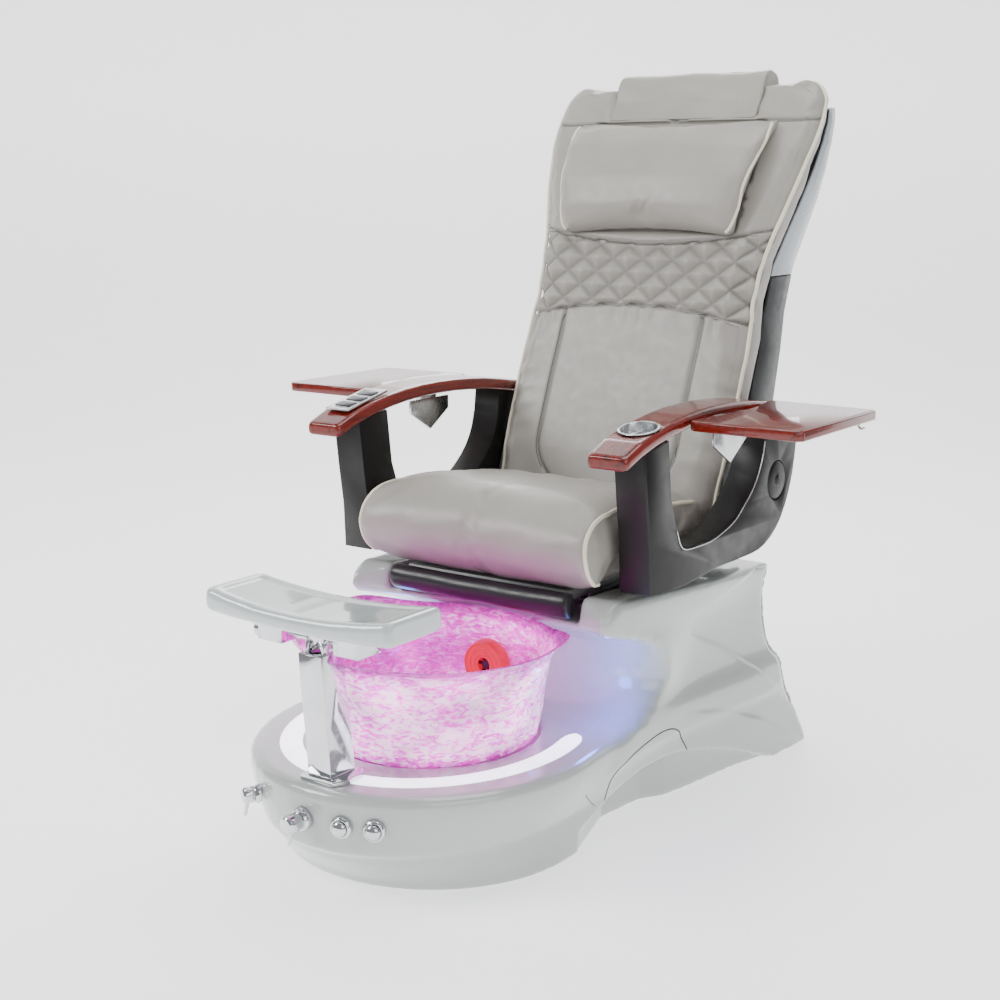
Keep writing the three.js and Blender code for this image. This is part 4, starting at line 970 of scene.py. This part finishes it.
def back_hold(co):
    """Keeps the swell clear of the seat, the arms and the back frame."""
    z = np.clip(co[:, 2], 0.47, 1.40)
    front = np.interp(z, [a * MM for a, _ in FRONT_LINE], [b * MM for _, b in FRONT_LINE])
    half = np.interp(z, [a * MM for a, _ in HALF_WIDTH], [b * MM for _, b in HALF_WIDTH])
    bins = np.arange(0.47, 1.402, 0.02)
    widest = np.array([np.abs(co[np.abs(z - b) < 0.02, 0]).max() for b in bins])
    gain = half / np.interp(z, bins, widest)
    co[:, 0] *= 1 + (gain - 1) * soft_step(1.385 - z, 0, 0.03)
    reach = half + np.clip((z - 0.62) / 0.2, 0, 1) * 0.004
    co[:, 0] = np.clip(co[:, 0], -reach, reach)
    depth = np.interp(z, [0.47, 1.2, 1.28, 1.34, 1.40], [0.084, 0.084, 0.076, 0.064, 0.05])
    proud = 0.016 * np.ones(len(z))
    proud = np.where((z > 1.10) & (z < 1.33) & (np.abs(co[:, 0]) < 0.21), 0.004, proud)
    proud = np.where((z > 1.34) & (np.abs(co[:, 0]) < 0.186), 0.004, proud)
    co[:, 1] = np.clip(co[:, 1], front - proud, front + depth)
    co[:, 2] = np.clip(co[:, 2], 0.487, 1.424)
    return co


SOFT_VOXEL = 0.008
back = cushion("back_upholstery", "back_cushion", "leather", "back", (0.008, 0.008, 0.008), SOFT_VOXEL, 0.022,
               back_hold, 4.0, back_detail)


def seat_hold(co):
    co[:, 0] = np.clip(co[:, 0], -0.279, 0.279)
    co[:, 1] = np.clip(co[:, 1], -0.2, 0.2635)
    co[:, 2] = np.clip(co[:, 2], 0.4585, 0.634)
    return co


def seat_detail(co, no):
    x, y, z = co.T
    top = no[:, 2] > 0.3
    push = np.where(top, -groove(y - 0.140 - 0.010 * (x / 0.27) ** 2, 0.005, 0.005), 0)
    rear = np.clip((y - 0.150) / 0.05, 0, 1)
    push += np.where(top, rear * 0.0014 * np.sin(x * 70 + 30 * y), 0)
    roll = no[:, 1] < -0.2
    push += np.where(roll, 0.0007 * np.sin(x * 46 + 2.5 * np.sin(z * 40)), 0)
    # Painted shade along the sewn cross seam of the seat top.
    dark = np.where(top, np.exp(-(((y - 0.140 - 0.010 * (x / 0.27) ** 2) / 0.003) ** 2)), 0)
    return co + no * push[:, None], dark


def apron_detail(co, no):
    gather = 0.0005 * np.sin(co[:, 0] * 46 + 40 * co[:, 2]) * (no[:, 1] < 0)
    return co + no * gather[:, None], np.zeros(len(co))


seat = cushion("seat_upholstery", "seat_cushion", "leather", "seat", (0.009, 0.006, 0.006), SOFT_VOXEL, 0.022,
               seat_hold, 4.0, seat_detail)
cushion("apron_roll", "seat_apron", "black_vinyl", "seat", (0.004, 0.003, 0.003), 0.006, 0.008,
        lambda co: co, 3.0, apron_detail, proud=(0.0, 0.002, 0.002))


def pillow_hold(co):
    z = np.clip(co[:, 2], 1.08, 1.36)
    front = np.interp(z, [a * MM for a, _ in FRONT_LINE], [b * MM for _, b in FRONT_LINE])
    co[:, 1] = np.minimum(co[:, 1], front - 0.004)
    return co


pillow = cushion("pillow_upholstery", "pillow", "leather", "pillow", (0.005, 0.005, 0.005), SOFT_VOXEL * 0.8, 0.016,
                 pillow_hold, 4.0, None)


def flap_detail(co, no):
    x, z = co[:, 0], co[:, 2]
    wave = 0.0012 * np.sin(x * 38 + 1.2) + 0.0009 * np.sin(z * 80 + x * 25)
    return co + no * (wave * (no[:, 1] < 0))[:, None]


def build_flap():
    """The leather strap that hangs over the top of the back and holds the pillow."""
    flap_low, flap_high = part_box("top_flap")
    outer = [(front_of(z) - t, z) for z, t in ((1.340, 0.013), (1.36, 0.0135), (1.38, 0.014))]
    over = [(0.638, 1.412), (0.652, 1.434), (0.680, flap_high.z), (0.706, 1.433), (0.718, 1.408), (0.7175, 1.368)]
    outer += [tuple(p) for p in spline(over, 16)]
    inner = [(0.706, 1.368), (0.704, 1.398), (0.690, 1.409), (0.660, 1.405)]
    inner += [(front_of(z) - 0.003, z) for z in (1.38, 1.36, 1.340)]
    ring = outer + inner
    half = flap_high.x
    points = [(x, y, z) for x in (-half, half) for y, z in ring]
    n = len(ring)
    faces = [(i, (i + 1) % n, n + (i + 1) % n, n + i) for i in range(n)]
    faces += [tuple(range(n - 1, -1, -1)), tuple(range(n, 2 * n))]
    mesh = bpy.data.meshes.new("top_flap_leather")
    mesh.from_pydata(points, [], faces)
    obj = bpy.data.objects.new("top_flap_leather", mesh)
    bpy.context.scene.collection.objects.link(obj)
    remeshed(obj, 0.0032, 5)
    set_coords(obj, flap_detail(coords(obj), normals(obj)))
    dressed(obj, "leather", "back", "top_flap")
    return obj


build_flap()

# ---------- piping, seams and stitching ----------
PIPE = 0.0042


def back_edge_path():
    right = [(width_of(z) + 0.002, front_of(z) + 0.014, z) for z in np.linspace(0.492, 1.372, 60)]
    corner = [(0.312, front_of(1.39) + 0.012, 1.394), (0.290, front_of(1.4) + 0.018, 1.412),
              (0.262, front_of(1.4) + 0.026, 1.420)]
    over = [(x, front_of(1.4) + 0.028, 1.4215) for x in (0.21, 0.14, 0.07, 0.0)]
    half = right + corner + over
    return half + [(-x, y, z) for x, y, z in half[::-1][1:]]


edge_path = snapped(back, spline(back_edge_path(), 260), 0.0022, 5)
tube("back_piping", edge_path, PIPE, "cream_piping", "back", sides=12)
edge_inner = snapped(back, [(p[0] * 0.965, p[1] - 0.03, p[2] - (0.012 if p[2] > 1.4 else 0))
                            for p in edge_path], 0.0004, 3)
stitches("back_edge_stitches", edge_inner, "back")


def seam(name, obj, path, body, stitch=None):
    laid = snapped(obj, path, -0.0003, 2)
    tube(name, laid, 0.0008, "seam", body, sides=6)
    if stitch is not None:
        stitches(name + "_stitches", snapped(obj, [np.array(p) + stitch for p in path], 0.0003, 1), body)


xs = np.linspace(-0.262, 0.262, 90)
seam("quilt_low_seam", back, [(x, front_of(quilt_low(x)) - 0.02, quilt_low(x)) for x in xs], "back",
     np.array([0, 0, -0.006]))
seam("quilt_high_seam", back, [(x, front_of(quilt_high(x)) - 0.02, quilt_high(x)) for x in xs], "back",
     np.array([0, 0, 0.006]))
for label, sign in (("right", 1), ("left", -1)):
    zs = np.linspace(0.60, quilt_low(0.17) - 0.002, 70)
    seam(f"lumbar_seam_{label}", back, [(sign * lumbar_x(z), front_of(z) - 0.02, z) for z in zs], "back",
         np.array([sign * 0.006, 0, 0]))
    xs_top = np.linspace(0.186, 0.318, 26)
    seam(f"head_seam_{label}", back, [(sign * x, front_of(1.334) - 0.02, 1.334) for x in xs_top], "back",
         np.array([0, 0, 0.006]))

SEAT_PROFILE = [(300, 592), (227, 600), (140, 608), (40, 620), (-51, 625), (-115, 617), (-162, 604), (-186, 577),
                (-193, 548), (-186, 514), (-173, 490), (-150, 468), (-126, 461)]
for label, sign in (("right", 1), ("left", -1)):
    guide = [(sign * 0.274, y * MM, z * MM) for y, z in SEAT_PROFILE if y < 262]
    laid = snapped(seat, spline(guide, 110), 0.0018, 4)
    laid[:, 0] = sign * np.minimum(np.abs(laid[:, 0]), 0.2795)
    tube(f"seat_piping_{label}", laid, PIPE, "cream_piping", "seat", sides=12)
    inner = [(sign * 0.262, y * MM, z * MM + 0.004) for y, z in SEAT_PROFILE if y < 262]
    stitches(f"seat_stitches_{label}", snapped(seat, spline(inner, 110), 0.0003, 2), "seat")
seam("seat_cross_seam", seat, [(x, 0.140 + 0.010 * (x / 0.27) ** 2, 0.62) for x in np.linspace(-0.25, 0.25, 60)], "seat",
     np.array([0, -0.006, 0]))

PILLOW_EDGE = [(1102, 197), (1112, 203), (1150, 210), (1215, 221), (1280, 232), (1316, 238), (1326, 238)]
for label, sign in (("right", 1), ("left", -1)):
    guide = [(sign * x * MM, front_of(z * MM) - 0.062 + 0.00022 * abs(z - 1215), z * MM) for z, x in PILLOW_EDGE]
    laid = snapped(pillow, spline(guide, 60), 0.0016, 3)
    tube(f"pillow_piping_{label}", laid, 0.0036, "cream_piping", "pillow", sides=12)

# ---------- rear shell ----------
for node, material in (("back_shell_upper", "silver_panel"), ("back_shell_lower", "black_vinyl")):
    shell = finer(node, material, 3.0, 30, 3, name=node + "_moulded", smooth_angle=40)

# ---------- painted edge highlights on the arms, and tray hooks ---
# A painted highlight: a thin brushed-steel cord along the rounded edge of each arm's window, as (Y, Z) in mm.
EDGE_HIGHLIGHT_LINE = [(-28, 576), (-12, 545), (10, 533), (60, 530), (112, 531), (160, 540), (206, 554), (245, 578), (277, 602),
        (300, 628), (318, 660), (328, 696)]
for label, sign in (("right", 1), ("left", -1)):
    line = [(sign * 0.3624, y * MM, z * MM) for y, z in spline(EDGE_HIGHLIGHT_LINE, 60)]
    tube(f"edge_highlight_cord_{label}", line, 0.0011, "brushed", f"arm_{label}", sides=8)
    hook = [(sign * 0.585, 0.262, 0.7625), (sign * 0.586, 0.262, 0.754), (sign * 0.592, 0.262, 0.749),
            (sign * 0.598, 0.262, 0.752)]
    tube(f"tray_hook_{label}", spline(hook, 14), 0.0022, "chrome", f"folding_tray_{label}", sides=8)

# ---------- stage, light and camera ----------
def build_stage():
    points = []
    profile = [(y, 0.0) for y in np.linspace(-6, 3.0, 10)]
    profile += [(3.0 + 1.6 * math.sin(a), 1.6 - 1.6 * math.cos(a)) for a in np.linspace(0.15, math.pi / 2, 10)]
    profile.append((4.6, 6.0))
    for x in (-8, 8):
        points += [(x, y, z - 0.0004) for y, z in profile]
    n = len(profile)
    faces = [(i, i + 1, n + i + 1, n + i) for i in range(n - 1)]
    mesh = bpy.data.meshes.new("stage_floor")
    mesh.from_pydata(points, [], faces)
    obj = bpy.data.objects.new("stage_floor", mesh)
    bpy.context.scene.collection.objects.link(obj)
    floor = moulded("studio_floor", (0.93, 0.93, 0.93), 0.6, 0.02, 200, 0.0, 0.01, 0.2)
    floor.node_tree.nodes["Principled BSDF"].inputs["Emission Color"].default_value = (1, 1, 1, 1)
    floor.node_tree.nodes["Principled BSDF"].inputs["Emission Strength"].default_value = 1.1
    mesh.materials.append(floor)
    mesh.shade_smooth()
    obj.rotation_euler = (0, 0, math.radians(35))


def lamp(name, place, target, size, power, color=(1, 1, 1)):
    data = bpy.data.lights.new(name, "AREA")
    data.shape = "RECTANGLE"
    data.size, data.size_y = size
    data.energy = power
    data.color = color
    obj = bpy.data.objects.new(name, data)
    obj.location = place
    obj.rotation_euler = (Vector(target) - Vector(place)).to_track_quat("-Z", "Y").to_euler()
    bpy.context.scene.collection.objects.link(obj)
    return obj


def bulb(name, place, power, color, radius=0.03):
    data = bpy.data.lights.new(name, "POINT")
    data.energy = power
    data.color = color
    data.shadow_soft_size = radius
    obj = bpy.data.objects.new(name, data)
    obj.location = place
    bpy.context.scene.collection.objects.link(obj)


build_stage()
lamp("key_light", (-2.4, -2.6, 3.0), (0, 0, 0.6), (1.6, 1.6), 120)
lamp("fill_light", (3.4, -1.8, 2.2), (0, 0, 0.6), (2.4, 2.4), 46)
lamp("top_light", (0.3, 0.2, 3.6), (0, 0, 0.6), (2.2, 2.2), 70)
lamp("back_light", (-1.6, 2.8, 2.6), (0, 0, 0.8), (1.8, 1.8), 50)

bulb("bath_glow", (0.0, -0.31, 0.27), 0.3, (1.0, 0.08, 0.66), 0.08)
for side_x in (0.268, -0.268):
    bulb("blue_glow", (side_x, -0.115, 0.285), 0.95, (0.10, 0.22, 1.0))

world = bpy.data.worlds.new("studio_world")
world.use_nodes = True
world.node_tree.nodes["Background"].inputs["Color"].default_value = (0.95, 0.97, 1.0, 1)
world.node_tree.nodes["Background"].inputs["Strength"].default_value = 0.4
bpy.context.scene.world = world

camera_data = bpy.data.cameras.new("photo_camera")
camera_data.lens = 56.82
camera_data.sensor_width = 36
camera = bpy.data.objects.new("photo_camera", camera_data)
camera.location = (1.7406, -2.5291, 1.2075)
camera.rotation_euler = (math.radians(78.5676), 0, math.radians(35.4076))
bpy.context.scene.collection.objects.link(camera)
bpy.context.scene.camera = camera
